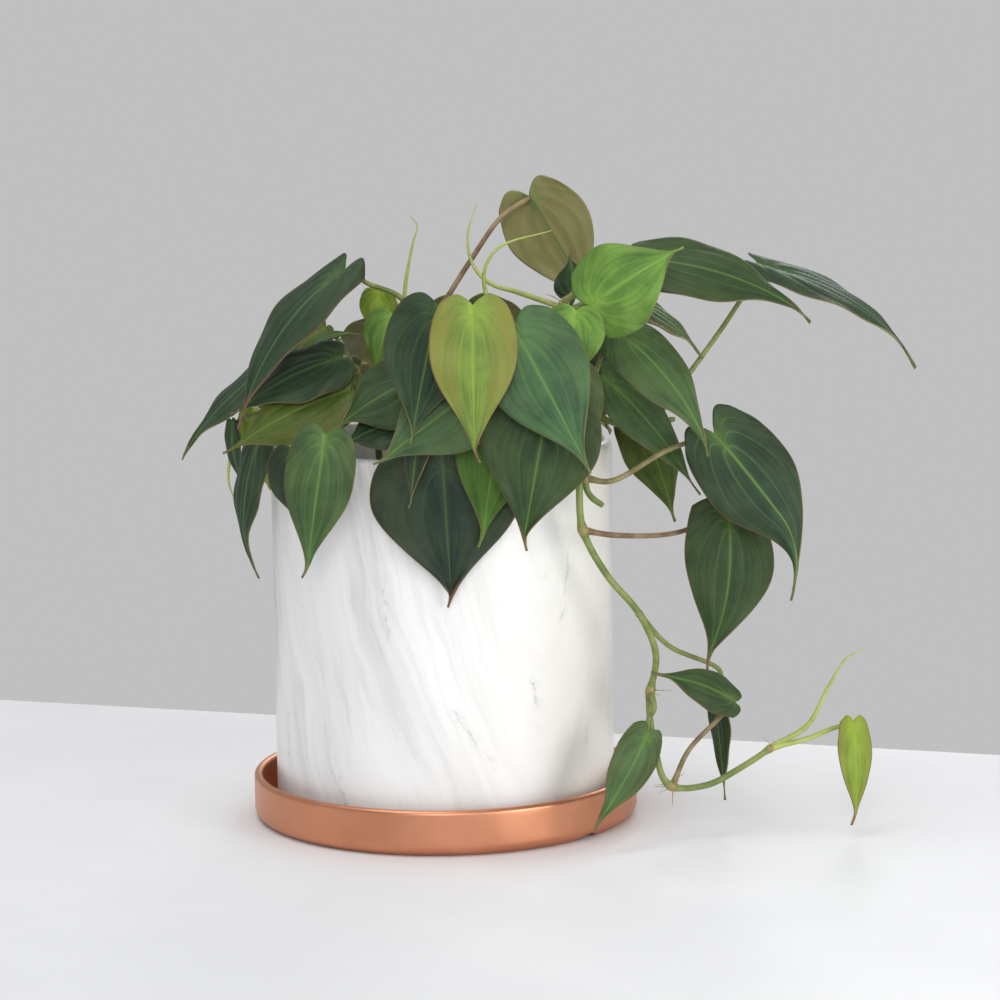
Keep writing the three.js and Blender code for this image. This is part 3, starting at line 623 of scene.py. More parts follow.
def blade_tree():
    """A heart-shaped blade: a fine sheet bent by its formula, quilted between its ribs."""
    tree, given = new_tree("leaf_blade", {
        "Base": (0.0, 0.0, 0.0), "Along": (0.0, 0.0, -1.0), "Across": (1.0, 0.0, 0.0),
        "Out": (0.0, -1.0, 0.0), "Length": 0.06, "Width": 0.035, "Arch": 0.003, "Fold": 0.1,
        "Lobe": LOBE_DEPTH, "Bow": 0.0, "Hook": 0.0, "Nod": 0.0, "Drip": DRIP, "Wave": 0.02,
        "Quilt": 0.0004, "Thickness": BLADE_THICKNESS, "Tone": (0.05, 0.1, 0.04), "Blush": 0.0,
        "Margin": 0.0, "Ribs": 1.0, "Seed": 0.0,
    })
    grid = step_node(tree, "GeometryNodeMeshGrid", Size_X=2.0, Size_Y=1.0,
                     Vertices_X=COLUMNS, Vertices_Y=ROWS)
    place = tree.nodes.new("GeometryNodeInputPosition")
    t, y, _ = split(tree, first(tree, place))
    s = y + 0.5
    out_share = abs(t)
    half_width = given["Width"] * 0.5 * outline(s, given["Drip"])
    _, rib_distance = rib_pattern(s, out_share, half_width)
    across = half_width * t
    back = (1 - s) ** 4
    lobe = given["Length"] * given["Lobe"] * (out_share * math.pi).do("SINE") * back
    hump = 4 * s * (1 - s)
    tip = ((s - TIP_START) / (1 - TIP_START)).above(0) ** 2
    end = ((s - CURL_START) / (1 - CURL_START)).above(0) ** 2
    curl = end * (given["Seed"] * CURL_SPREAD).do("SINE") * TIP_CURL
    side = across + given["Bow"] * hump + given["Hook"] * tip + given["Length"] * curl
    bend = ((across * across + FOLD_SOFTNESS**2).do("SQRT") - FOLD_SOFTNESS) * given["Fold"]
    rise = given["Arch"] * hump - bend - given["Nod"] * tip
    rolling = noise(tree, joined(tree, t, s, given["Seed"]), 1.6, detail=1.0) - 0.5
    ripple = (s * 17 + given["Seed"] * 5 + t * 2).do("SINE") * out_share * out_share
    rise = rise + given["Width"] * (rolling * MARGIN_ROLL * out_share + ripple * given["Wave"])
    fade = 1 - out_share ** 6
    puff = (rib_distance / PUFF_WIDTH).clamped().step(0, 1)
    midrib = across.bell(MIDRIB_WIDTH)
    rise = rise + given["Quilt"] * (puff * fade * (1 - s ** 3) - midrib * MIDRIB_DEPTH)
    where = total(
        tree, given["Base"], scaled(tree, given["Along"], given["Length"] * s - lobe),
        scaled(tree, given["Across"], side), scaled(tree, given["Out"], rise),
    )
    sheet = stored(tree, first(tree, grid), "UVMap", Value(tree, grid.outputs["UV Map"]),
                   "FLOAT2", "CORNER")
    sheet = stored(tree, sheet, "half_width", half_width)
    placed = made(tree, "GeometryNodeSetPosition", Geometry=sheet, Position=where)
    normal = made(tree, "GeometryNodeInputNormal")
    thickness = given["Thickness"] * (1 - 0.5 * out_share ** 4)
    thickness = thickness * s.step(0.8, 1.0, 1.0, TIP_THICKNESS)
    thick = step_node(tree, "GeometryNodeExtrudeMesh", Mesh=placed, Individual=False,
                      Offset=normal, Offset_Scale=thickness)
    upper = stored(tree, first(tree, thick), "upper_side", Value(tree, thick.outputs["Top"]),
                   domain="FACE")
    lower = made(tree, "GeometryNodeFlipFaces", Mesh=placed)
    both = tree.nodes.new("GeometryNodeJoinGeometry")
    tree.links.new(lower.socket, both.inputs[0])
    tree.links.new(upper.socket, both.inputs[0])
    closed = made(tree, "GeometryNodeMergeByDistance",
                  Geometry=first(tree, both), Distance=0.01 * MM)
    closed = stored(tree, closed, "tone", given["Tone"], "FLOAT_VECTOR")
    for label in ("Blush", "Margin", "Ribs"):
        closed = stored(tree, closed, label.lower(), given[label])
    finish_tree(tree, closed, given["Material"])
    return tree


def blade_axes(leaf):
    """The blade's own directions: along the midrib, out of its upper side, and across."""
    along = Vector(leaf["points"]).normalized()
    out = Vector(leaf["face"])
    out = (out - along * out.dot(along)).normalized()
    return along, out, along.cross(out)


def around_pot(point):
    """A drawn point in millimetres, moved to where it lies around the real pot, in metres."""
    x, y, z = (value * MM for value in point)
    spread = POT_RADIUS / DRAWN_RADIUS
    return Vector((x * spread, y * spread, RIM_HEIGHT + z))


def make_blade(name, leaf, tree, material, seed):
    along, out, across = blade_axes(leaf)
    return grown(
        name, bpy.data.meshes.new(name + "_seed"), tree, material,
        Base=around_pot(leaf["at"]), Along=along, Across=across, Out=out,
        Length=leaf["long"] * MM, Width=leaf["wide"] * MM, Arch=leaf["arch"] * MM,
        Fold=float(leaf["fold"]), Lobe=float(leaf.get("lobe", LOBE_DEPTH)),
        Bow=leaf.get("bow", 0) * MM, Hook=leaf.get("hook", 0) * MM, Nod=leaf.get("nod", 0) * MM,
        Drip=float(leaf.get("drip", DRIP)), Tone=Vector(TONES[leaf["tone"]]),
        Blush=float(leaf.get("blush", 0.08)), Margin=float(leaf.get("margin", 0.25)),
        Ribs=float(leaf.get("ribs", 1)), Seed=float(seed),
    )


# ---- stems --------------------------------------------------------------------------------------

STEM_STEP = 1.5 * MM
CURVE_STEPS = 24  # between one drawn point and the next
ROOT_DEPTH = 4 * MM  # how far a vine starts below the soil
ELBOW_DROP = 5 * MM  # how far below its blade a petiole turns up to it
ELBOW_RUN = 6 * MM  # and how far to the side
STALK_REACH = 1 * MM  # how far along the midrib a petiole ends
STALK_DEPTH = 0.5 * MM  # and how far under the blade
VINE_FLUSH = 0.25
FULL_LEAF = 55  # length in millimetres of a blade whose petiole has its full thickness


def smooth_line(points):
    """Points at even steps along a centripetal Catmull-Rom curve through `points`."""
    ends = [points[0] * 2 - points[1], *points, points[-1] * 2 - points[-2]]
    line = []
    for i in range(len(points) - 1):
        a, b, c, d = ends[i : i + 4]
        knots = [0.0]
        for p, q in ((a, b), (b, c), (c, d)):
            knots.append(knots[-1] + max((q - p).length, 1e-9) ** 0.5)
        k0, k1, k2, k3 = knots
        for j in range(CURVE_STEPS):
            k = k1 + (k2 - k1) * j / CURVE_STEPS
            ab = a.lerp(b, (k - k0) / (k1 - k0))
            bc = b.lerp(c, (k - k1) / (k2 - k1))
            cd = c.lerp(d, (k - k2) / (k3 - k2))
            abc = ab.lerp(bc, (k - k0) / (k2 - k0))
            bcd = bc.lerp(cd, (k - k1) / (k3 - k1))
            line.append(abc.lerp(bcd, (k - k1) / (k2 - k1)))
    line.append(points[-1].copy())
    reach = [0.0]
    for p, q in zip(line, line[1:]):
        reach.append(reach[-1] + (q - p).length)
    steps = max(6, round(reach[-1] / STEM_STEP))
    even = []
    at = 0
    for j in range(steps + 1):
        wanted = reach[-1] * j / steps
        while at < len(line) - 2 and reach[at + 1] < wanted:
            at += 1
        gap = max(reach[at + 1] - reach[at], 1e-12)
        even.append(line[at].lerp(line[at + 1], (wanted - reach[at]) / gap))
    return even


def part_way(line, share):
    return line[round(share * (len(line) - 1))]


def bell(distance, width):
    return math.exp(-((distance / width) ** 2))


def vine_line(vine):
    x, y = vine["foot"]
    foot = around_pot((x, y, 0))
    foot.z = SOIL_HEIGHT - ROOT_DEPTH
    return smooth_line([foot, *(around_pot(p) for p in vine["path"])])


def petiole_line(start, leaf):
    """From the vine, past the petiole's own points, and up to the blade's base from underneath."""
    along, out, _ = blade_axes(leaf)
    base = around_pot(leaf["at"])
    via = [around_pot(p) for p in leaf["via"]]
    approach = (via[-1] if via else start) - base
    approach = (approach - out * approach.dot(out)).normalized()
    elbow = base - out * ELBOW_DROP + approach * ELBOW_RUN
    end = base + along * STALK_REACH - out * STALK_DEPTH
    return smooth_line([start, *via, elbow, end])


class Strands:
    """Stem centre lines with their thickness and colouring, as one mesh of loose edges."""

    def __init__(self):
        self.points = []
        self.edges = []
        self.facts = {"thickness": [], "flush": [], "collar": [], "youth": []}

    def add(self, line, facts_at):
        """Adds a line; facts_at gives its radius, flush, collar and youth at a share of its length."""
        start = len(self.points)
        for i, point in enumerate(line):
            self.points.append(point)
            if i:
                self.edges.append((start + i - 1, start + i))
            for values, value in zip(self.facts.values(), facts_at(i / (len(line) - 1))):
                values.append(value)

    def mesh(self, name):
        mesh = bpy.data.meshes.new(name)
        mesh.from_pydata(self.points, self.edges, [])
        for label, values in self.facts.items():
            mesh.attributes.new(label, "FLOAT", "POINT").data.foreach_set("value", values)
        return mesh


def vine_facts(vine, length):
    """The facts of a vine's main stem: it tapers, and swells in a collar at each leaf node."""
    def facts_at(share):
        radius = (VINE_DIAMETER + (VINE_TIP_DIAMETER - VINE_DIAMETER) * share) / 2
        collar = 0
        for node in vine["nodes"]:
            off = (share - node) * length
            collar = max(collar, bell(off, COLLAR_WIDTH))
        radius *= 1 + (NODE_SWELL - 1) * collar
        if share > 0.995:
            radius *= 0.75
        return radius, VINE_FLUSH, collar, share * 0.35
    return facts_at


def petiole_facts(leaf, length):
    """A petiole flares into its vine and swells a little under its blade."""
    flush = leaf.get("flush", 0.35)
    youth = 1.0 if leaf["tone"] == "lime" else 0.2
    scale = 0.75 + 0.25 * min(1, leaf["long"] / FULL_LEAF)

    def facts_at(share):
        radius = (PETIOLE_DIAMETER + (PETIOLE_TIP_DIAMETER - PETIOLE_DIAMETER) * share) / 2
        radius *= scale * (1 + 0.45 * bell(share * length, 4 * MM))
        radius *= 1 + 0.22 * bell((1 - share) * length - 3 * MM, 3 * MM)
        if share > 0.97:
            radius *= 1 - 8 * (share - 0.97)
        return radius, flush, 0.5 * bell(share * length, 2 * MM), youth
    return facts_at


def shoot_facts(length):
    def facts_at(share):
        radius = PETIOLE_DIAMETER / 2 * (1 - 0.85 * share**1.5)
        return radius, 0.1, bell(share * length, 2 * MM), 0.6 + 0.4 * share
    return facts_at


def line_length(line):
    return sum((q - p).length for p, q in zip(line, line[1:]))


def stem_strands(vine):
    strands = Strands()
    main = vine_line(vine)
    strands.add(main, vine_facts(vine, line_length(main)))
    for leaf in vine["leaves"]:
        line = petiole_line(part_way(main, leaf["start"]), leaf)
        strands.add(line, petiole_facts(leaf, line_length(line)))
    for points in vine["shoots"]:
        line = smooth_line([around_pot(p) for p in points])
        strands.add(line, shoot_facts(line_length(line)))
    return strands


def stem_tree():
    """Ribbed stems along loose edges, with short aerial rootlets around the collars."""
    tree, given = new_tree("ribbed_stem", {
        "Ribs": 5.0, "Rib Depth": 0.05, "Rootlet Length": 0.005, "Rootlet Radius": 0.0002,
        "Rootlet Density": 90000.0, "Seed": 0,
    })
    line = made(tree, "GeometryNodeMeshToCurve", Mesh=given["Geometry"])
    radius = made(tree, "GeometryNodeInputNamedAttribute", Name="thickness")
    ring = made(tree, "GeometryNodeCurvePrimitiveCircle", Resolution=15,
                Radius=1.0)
    x, y, _ = split(tree, made(tree, "GeometryNodeInputPosition"))
    turn = number(tree, "ARCTAN2", y, x)
    grow = 1 + (turn * given["Ribs"]).do("COSINE") * given["Rib Depth"]
    ring = made(tree, "GeometryNodeSetPosition", Geometry=ring,
                Position=joined(tree, x * grow, y * grow, 0.0))
    tube = made(tree, "GeometryNodeCurveToMesh", Curve=line, Profile_Curve=ring,
                Scale=radius, Fill_Caps=True)
    collar = made(tree, "GeometryNodeInputNamedAttribute", Name="collar")
    wanted = collar.step(0.55, 0.9)
    scatter = step_node(tree, "GeometryNodeDistributePointsOnFaces", Mesh=tube,
                        Density=wanted * given["Rootlet Density"], Seed=given["Seed"])
    cone = made(tree, "GeometryNodeMeshCone", Vertices=6, Side_Segments=4,
                Radius_Top=given["Rootlet Radius"] * 0.5,
                Radius_Bottom=given["Rootlet Radius"],
                Depth=given["Rootlet Length"])
    cx, cy, cz = split(tree, made(tree, "GeometryNodeInputPosition"))
    bent = made(
        tree, "GeometryNodeSetPosition", Geometry=cone,
        Position=joined(tree, cx + cz * cz * 120, cy, cz))
    size = tree.nodes.new("FunctionNodeRandomValue")
    size.data_type = "FLOAT"
    feed(tree, size.inputs[2], 0.35)
    feed(tree, size.inputs[3], 1.3)
    rootlets = made(
        tree, "GeometryNodeInstanceOnPoints", Points=first(tree, scatter), Instance=bent,
        Rotation=Value(tree, scatter.outputs["Rotation"]), Scale=Value(tree, size.outputs[1]))
    rootlets = made(tree, "GeometryNodeRealizeInstances", Geometry=rootlets)
    rootlets = stored(tree, rootlets, "collar", 1.0)
    rootlets = stored(tree, rootlets, "flush", 0.8)
    both = tree.nodes.new("GeometryNodeJoinGeometry")
    tree.links.new(rootlets.socket, both.inputs[0])
    tree.links.new(tube.socket, both.inputs[0])
    finish_tree(tree, first(tree, both), given["Material"])
    return tree


# ---- turned pieces ------------------------------------------------------------------------------


def arc(radius_at, height_at, radius, start, end, steps):
    """Points of a round, as (distance from the axis, height), between two angles in degrees."""
    points = []
    for i in range(steps + 1):
        turn = math.radians(start + (end - start) * i / steps)
        points.append((radius_at + radius * math.cos(turn), height_at + radius * math.sin(turn)))
    return points


def straight(start, end, steps):
    return [
        (start[0] + (end[0] - start[0]) * i / steps, start[1] + (end[1] - start[1]) * i / steps)
        for i in range(1, steps)
    ]


def turned(name, profile, segments, closed, shift=None):
    """A piece turned about the upright axis. A profile closes on itself, or starts and ends on the
    axis. shift moves a point, given its place and the angle it is at."""
    points = []
    rings = []
    for radius, height in profile:
        if radius < 1e-9:
            rings.append([len(points)])
            points.append(Vector((0, 0, height)))
            continue
        ring = []
        for j in range(segments):
            angle = 2 * math.pi * j / segments
            point = Vector((radius * math.cos(angle), radius * math.sin(angle), height))
            if shift:
                point = shift(point, angle)
            ring.append(len(points))
            points.append(point)
        rings.append(ring)
    faces = []
    pairs = list(zip(rings, rings[1:]))
    if closed:
        pairs.append((rings[-1], rings[0]))
    for lower, upper in pairs:
        for j in range(segments):
            k = (j + 1) % segments
            loop = [lower[j % len(lower)], lower[k % len(lower)],
                    upper[k % len(upper)], upper[j % len(upper)]]
            faces.append([index for n, index in enumerate(loop) if index not in loop[:n]])
    mesh = bpy.data.meshes.new(name)
    mesh.from_pydata(points, [], faces)
    mesh.validate()
    mesh.polygons.foreach_set("use_smooth", [True] * len(mesh.polygons))
    piece = bpy.data.objects.new(name, mesh)
    bpy.context.scene.collection.objects.link(piece)
    return piece


def make_pot():
    """A straight-sided pot with a rounded lip, a bevelled foot and a drain hole in its floor."""
    lip = POT_WALL / 2
    inner = POT_INNER
    floor = POT_FOOT + POT_FLOOR
    hole = DRAIN_HOLE / 2
    profile = [
        (hole, POT_FOOT),
        *arc(POT_RADIUS - POT_FOOT_BEVEL, POT_FOOT + POT_FOOT_BEVEL, POT_FOOT_BEVEL, -90, 0, 6),
        *straight((POT_RADIUS, POT_FOOT), (POT_RADIUS, RIM_HEIGHT - lip), 24),
        *arc(POT_RADIUS - lip, RIM_HEIGHT - lip, lip, 0, 180, 14),
        *straight((inner, RIM_HEIGHT - lip), (inner, floor), 12),
        *arc(inner - POT_CORNER, floor + POT_CORNER, POT_CORNER, 0, -90, 5),
        (hole, floor),
    ]
    return turned("glazed_pot", profile, 192, closed=True)


def notch_lift(point, angle):
    """Lifts the saucer's underside into a scallop at each notch."""
    spacing = 2 * math.pi / NOTCH_COUNT
    off = (angle - FIRST_NOTCH + spacing / 2) % spacing - spacing / 2
    half = NOTCH_WIDTH / 2
    across = off * SAUCER_RADIUS
    if abs(across) >= half or point.z > SAUCER_FLOOR:
        return point
    bow = (half**2 + NOTCH_RISE**2) / (2 * NOTCH_RISE)
    rise = math.sqrt(bow**2 - across**2) - (bow - NOTCH_RISE)
    distance = math.hypot(point.x, point.y)
    if distance < SAUCER_RADIUS - NOTCH_REACH:
        return point
    return Vector((point.x, point.y, max(point.z, rise)))


def make_saucer():
    """A shallow dish with a rounded lip and corner, and scalloped notches under its edge."""
    lip = SAUCER_WALL / 2
    inner = SAUCER_RADIUS - SAUCER_WALL
    corner = SAUCER_RADIUS - SAUCER_CORNER
    round_in = SAUCER_INNER_CORNER
    within, beyond = (SAUCER_RADIUS - inset for inset in NOTCH_RINGS)
    profile = [
        (0, 0),
        *straight((0, 0), (within, 0), 4),
        (within, 0),
        (beyond, 0),
        *straight((beyond, 0), (corner, 0), 3),
        *arc(corner, SAUCER_CORNER, SAUCER_CORNER, -90, 0, 12),
        *straight((SAUCER_RADIUS, SAUCER_CORNER), (SAUCER_RADIUS, SAUCER_HEIGHT - lip), 6),
        *arc(SAUCER_RADIUS - lip, SAUCER_HEIGHT - lip, lip, 0, 180, 14),
        *straight((inner, SAUCER_HEIGHT - lip), (inner, SAUCER_FLOOR + round_in), 4),
        *arc(inner - round_in, SAUCER_FLOOR + round_in, round_in, 0, -90, 5),
        (0, SAUCER_FLOOR),
    ]
    return turned("copper_saucer", profile, 360, closed=False, shift=notch_lift)


# ---- soil ---------------------------------------------------------------------------------------


SOIL_GAP = 0.3 * MM  # between the soil and the pot
SOIL_CROWN = 3 * MM  # how much lower the soil is at the wall than in the middle


def soil_bed():
    """The soil as a closed low mound that reaches down inside the pot."""
    radius = POT_INNER - SOIL_GAP
    bottom = POT_FOOT + POT_FLOOR + SOIL_GAP
    rings = 34
    profile = [(0, bottom), (radius, bottom)]
    for i in range(rings + 1):
        share = 1 - i / rings
        profile.append((radius * share, SOIL_HEIGHT - SOIL_CROWN * share**2))
    bed = turned("soil_bed", profile, 120, closed=False)
    mesh = bed.data
    bpy.data.objects.remove(bed)
    return mesh


def soil_tree():
    """Rough soil with bark chips and pale grains lying in it."""
    tree, given = new_tree("soil", {
        "Roughness": 0.0022, "Top": 0.14, "Chip Density": 60000.0, "Grain Density": 9000.0,
        "Seed": 3,
    })
    place = made(tree, "GeometryNodeInputPosition")
    x, y, z = split(tree, place)
    lump = noise(tree, place, 140.0, detail=5.0, roughness=0.65) - 0.62
    distance = (x * x + y * y).do("SQRT")
    edge = distance.step(POT_INNER - 3 * MM, POT_INNER - 1 * MM, 1.0, 0.0)
    on_top = z.step(given["Top"] - 0.0005, given["Top"], 0.0, 1.0)
    lift = lump * given["Roughness"] * 2 * edge * on_top
    bed = made(tree, "GeometryNodeSetPosition", Geometry=given["Geometry"],
               Offset=joined(tree, 0.0, 0.0, lift))
    inside = distance.step(POT_INNER - 4.5 * MM, POT_INNER - 4 * MM, 1.0, 0.0)

    def strewn(density, shape, low, high, seed, pale):
        spots = step_node(tree, "GeometryNodeDistributePointsOnFaces", Mesh=bed,
                          Density=on_top * inside * density, Seed=seed)
        spin = tree.nodes.new("FunctionNodeRandomValue")
        spin.data_type = "FLOAT_VECTOR"
        feed(tree, spin.inputs[1], (math.tau, math.tau, math.tau))
        size = tree.nodes.new("FunctionNodeRandomValue")
        size.data_type = "FLOAT_VECTOR"
        feed(tree, size.inputs[0], low)
        feed(tree, size.inputs[1], high)
        lying = made(tree, "GeometryNodeInstanceOnPoints",
                     Points=first(tree, spots), Instance=shape,
                     Rotation=first(tree, spin), Scale=first(tree, size))
        real = made(tree, "GeometryNodeRealizeInstances", Geometry=lying)
        return stored(tree, real, "pale", pale)

    lump_shape = made(tree, "GeometryNodeMeshIcoSphere", Radius=1.0,
                      Subdivisions=2)
    jagged = noise(tree, made(tree, "GeometryNodeInputPosition"), 1.3) - 0.5
    lump_shape = made(
        tree, "GeometryNodeSetPosition", Geometry=lump_shape,
        Offset=scaled(tree, made(tree, "GeometryNodeInputNormal"), jagged * 1.6))
    chips = strewn(given["Chip Density"], lump_shape, (0.0006, 0.0004, 0.0003),
                   (0.0026, 0.0014, 0.0009), 11, 0.0)
    grains = strewn(given["Grain Density"], lump_shape, (0.0005, 0.0005, 0.0005),
                    (0.0013, 0.0013, 0.0013), 23, 1.0)
    whole = tree.nodes.new("GeometryNodeJoinGeometry")
    for part in (grains, chips, bed):
        tree.links.new(part.socket, whole.inputs[0])
    finish_tree(tree, first(tree, whole), given["Material"])
    return tree


# ---- finishes -----------------------------------------------------------------------------------


def new_finish(name, **settings):
    """A material with one shader; settings are its sockets' own values, by name with _ for a space."""
    material = bpy.data.materials.new(name)
    material.use_nodes = True
    tree = material.node_tree
    shader = tree.nodes["Principled BSDF"]
    for label, value in settings.items():
        shader.inputs[label.replace("_", " ")].default_value = value
    return material, tree, shader


def own_place(tree):
    return Value(tree, tree.nodes.new("ShaderNodeTexCoord").outputs["Object"])


def fact(tree, name, output="Fac"):
    node = tree.nodes.new("ShaderNodeAttribute")
    node.attribute_name = name
    return Value(tree, node.outputs[output])


def raised(tree, shader, height, distance, strength=1.0):
    """Bumps a shader's surface by a height of 0 to 1 over `distance` metres."""
    bump = tree.nodes.new("ShaderNodeBump")
    feed(tree, bump.inputs["Height"], height)
    feed(tree, bump.inputs["Distance"], distance)
    feed(tree, bump.inputs["Strength"], strength)
    tree.links.new(bump.outputs[0], shader.inputs["Normal"])


RIB_WIDTH = 0.3 * MM
RIB_LIGHT_SPREAD = 1.2 * MM  # how far the painted light beside a side rib spreads
MIDRIB_LINE = 0.75 * MM
# how far the painted light beside the midrib spreads
MIDRIB_LIGHT_SPREAD = 2.4 * MM
MARGIN_WIDTH = 0.38 * MM
LEAF_GOLD = (0.25, 0.20, 0.05)
RIB_GREEN = (0.20, 0.34, 0.07)
MARGIN_RED = (0.24, 0.115, 0.07)
BACK_BRONZE = (0.21, 0.15, 0.08)
BACK_RIB = (0.13, 0.19, 0.06)
BACK_MARGIN = (0.16, 0.075, 0.04)
# What a leaf's own colour is multiplied by where it is palest (pale ribs and painted light), deepest and
# clearest.
PALE_AND_LIT = (1.75, 1.6, 1.35)
DEEPEST = (0.46, 0.54, 0.64)
CLEAREST = (1.2, 1.16, 1.12)


def leaf_finish(name, under, sheen_tint, roughness):
    """A velvety leaf: paler ribs with painted light beside them and at its base, fine streaks between
    them, a thin red margin, a bronze back.
    """
    material, tree, shader = new_finish(
        name, Roughness=roughness, Sheen_Weight=0.04, Sheen_Roughness=0.35,
        Sheen_Tint=(*sheen_tint, 1), Specular_IOR_Level=0.16)
    uv = tree.nodes.new("ShaderNodeUVMap")
    uv.uv_map = "UVMap"
    u, s, _ = split(tree, first(tree, uv))
    t = u * 2 - 1
    out_share = abs(t)
    half_width = fact(tree, "half_width")
    place, distance = rib_pattern(s, out_share, half_width)
    across = out_share * half_width
    thin = 1 - 0.55 * s
    side_rib = distance.bell(RIB_WIDTH) * (1 - out_share ** 3) * (1 - s * s)
    # Painted light: paler bands beside the side ribs and the midrib and at the blade's base, on both
    # sides of the leaf.
    side_rib_light = distance.bell(RIB_LIGHT_SPREAD) * (1 - out_share ** 3) * (1 - s * s)
    midrib = number(tree, "EXPONENT", -((across / (thin * MIDRIB_LINE)) ** 2))
    midrib_light = across.bell(MIDRIB_LIGHT_SPREAD) * (1 - 0.6 * s)
    heart = ((s * s + out_share * out_share * 0.12).do("SQRT")).bell(0.13)
    rib = (midrib + side_rib * 0.4 + heart * 0.35).clamped()
    painted_rib_light = (midrib_light * 0.35 + side_rib_light * 0.18 + heart * 0.4) * fact(tree, "ribs")

    grain_place = own_place(tree)
    cells = noise(tree, grain_place, 1400.0, detail=2.0)
    clouds = noise(tree, grain_place, 70.0, detail=3.0)
    streaks = noise(tree, joined(tree, place * 3, s * 1.5, 0.0), 1.6, detail=3.0)

    tone = fact(tree, "tone", "Color")
    painted_light_and_pale_rib = mixed(tree, 1.0, tone, PALE_AND_LIT, "MULTIPLY")
    deep = mixed(tree, 1.0, tone, DEEPEST, "MULTIPLY")
    clear = mixed(tree, 1.0, tone, CLEAREST, "MULTIPLY")
    velvet = clouds.step(0.32, 0.68) * 0.6 + streaks.step(0.35, 0.65) * 0.4
    colour = mixed(tree, velvet, deep, clear)
    golden = mixed(tree, 0.6, tone, LEAF_GOLD)
    sides = out_share.step(0.12, 0.75) * (1 - s.step(0.45, 0.95)) * (1 - 0.75 * side_rib_light)
    colour = mixed(tree, sides * fact(tree, "blush"), colour, golden)
    # Painted light beside the ribs and at the base, broken up by fine cells.
    colour = mixed(tree, (painted_rib_light + (cells - 0.5) * 0.25).clamped(), colour, painted_light_and_pale_rib)
    rib_colour = mixed(tree, 0.5, painted_light_and_pale_rib, RIB_GREEN)
    colour = mixed(tree, (rib * 0.6 * fact(tree, "ribs")).clamped(), colour, rib_colour)
    edge = ((1 - out_share) * half_width).bell(MARGIN_WIDTH)
    end = s.step(0.93, 1.0)
    rim = (edge + end).clamped() * (0.25 + fact(tree, "margin") * 0.75)
    upper = mixed(tree, rim * 0.85, colour, MARGIN_RED)

    back = mixed(tree, 0.15, under, tone)
    back = mixed(tree, clouds.step(0.35, 0.65) * 0.3, back, BACK_BRONZE)
    # The back's paler ribs, with the painted light beside them.
    back = mixed(tree, (rib * 0.7 + painted_rib_light * 0.4).clamped(), back, BACK_RIB)
    back = mixed(tree, rim * 0.6, back, BACK_MARGIN)
    skin = mixed(tree, fact(tree, "upper_side"), back, upper)
    tree.links.new(skin.socket, shader.inputs["Base Color"])

    rough = roughness + (clouds - 0.5) * 0.12 + (cells - 0.5) * 0.08
    feed(tree, shader.inputs["Roughness"], rough)
    groove = 0.5 - side_rib * 0.22 - midrib * 0.45
    raised(tree, shader, groove + (cells - 0.5) * 0.35 + (streaks - 0.5) * 0.3, 0.35 * MM, 0.8)
    return material


# Each pair of a stem's colours is for its darker and its paler patches.
STEM_GREEN = ((0.13, 0.19, 0.045), (0.24, 0.30, 0.08))
STEM_BROWN = ((0.15, 0.085, 0.045), (0.30, 0.22, 0.11))
STEM_YOUNG = ((0.34, 0.42, 0.09), (0.46, 0.50, 0.16))
COLLAR_TAN = (0.36, 0.25, 0.10)
SPECKLE = (0.10, 0.07, 0.03)


def stem_finish():
    """Ribbed olive stems, pinkish brown where they flush, tan at the collars, lime when young."""
    material, tree, shader = new_finish("stem", Roughness=0.42, Specular_IOR_Level=0.4)
    place = own_place(tree)
    speckle = noise(tree, place, 900.0, detail=3.0)
    patches = noise(tree, place, 110.0, detail=3.0)
    green = mixed(tree, patches.step(0.35, 0.65), *STEM_GREEN)
    brown = mixed(tree, patches.step(0.3, 0.7), *STEM_BROWN)
    young = mixed(tree, patches.step(0.3, 0.7), *STEM_YOUNG)
    share = (fact(tree, "flush") + (patches - 0.5) * 0.5).step(0.15, 0.85)
    colour = mixed(tree, share, green, brown)
    colour = mixed(tree, fact(tree, "youth").step(0.3, 0.8), colour, young)
    colour = mixed(tree, fact(tree, "collar").step(0.3, 0.9) * 0.75, colour, COLLAR_TAN)
    colour = mixed(tree, speckle.step(0.55, 0.75) * 0.3, colour, SPECKLE)
    tree.links.new(colour.socket, shader.inputs["Base Color"])
    feed(tree, shader.inputs["Roughness"], 0.38 + speckle * 0.15)
    raised(tree, shader, speckle + patches * 0.5, 0.2 * MM)
    return material


# Fine dark lines in the glaze, each from one point to another as (distance round the wall from the
# front, height), in millimetres.
HAIRLINES = [
    ((4, 60), (14, 48)), ((14, 48), (23, 37)), ((-47, 30), (-44, 15)), ((-44, 15), (-41, 2)),
    ((7, 15), (20, 4)), ((74, 46), (72, 39)), ((-85, 52), (-82, 8)), ((40, 74), (43, 60)),
    ((-24, 118), (-22, 92)), ((62, 128), (57, 96)), ((150, 90), (140, 60)),
    ((-160, 70), (-150, 30)), ((200, 40), (210, 12)),
]
SWIRL_AT = 46  # distance round the wall to the middle of the marbling's swirl, in millimetres
SWIRL_BEND = 0.03  # how quickly its lines steepen away from there, for each millimetre
LINE_WANDER = 13  # how far the marbling's lines wander, in millimetres
VEIN_SWAY = 11  # how far the dark lines sway round the wall, in millimetres
VEIN_LIFT = 4  # and up and down it
GLAZE_WHITE = (0.87, 0.87, 0.865)
GLAZE_GREY = (0.47, 0.475, 0.48)
# Cream of the random warm patches, and also of the painted warm reflection on the right of the wall.
CREAM_TINT_AND_REFLECTION = (0.80, 0.765, 0.67)
VEIN_GREY = (0.13, 0.135, 0.14)


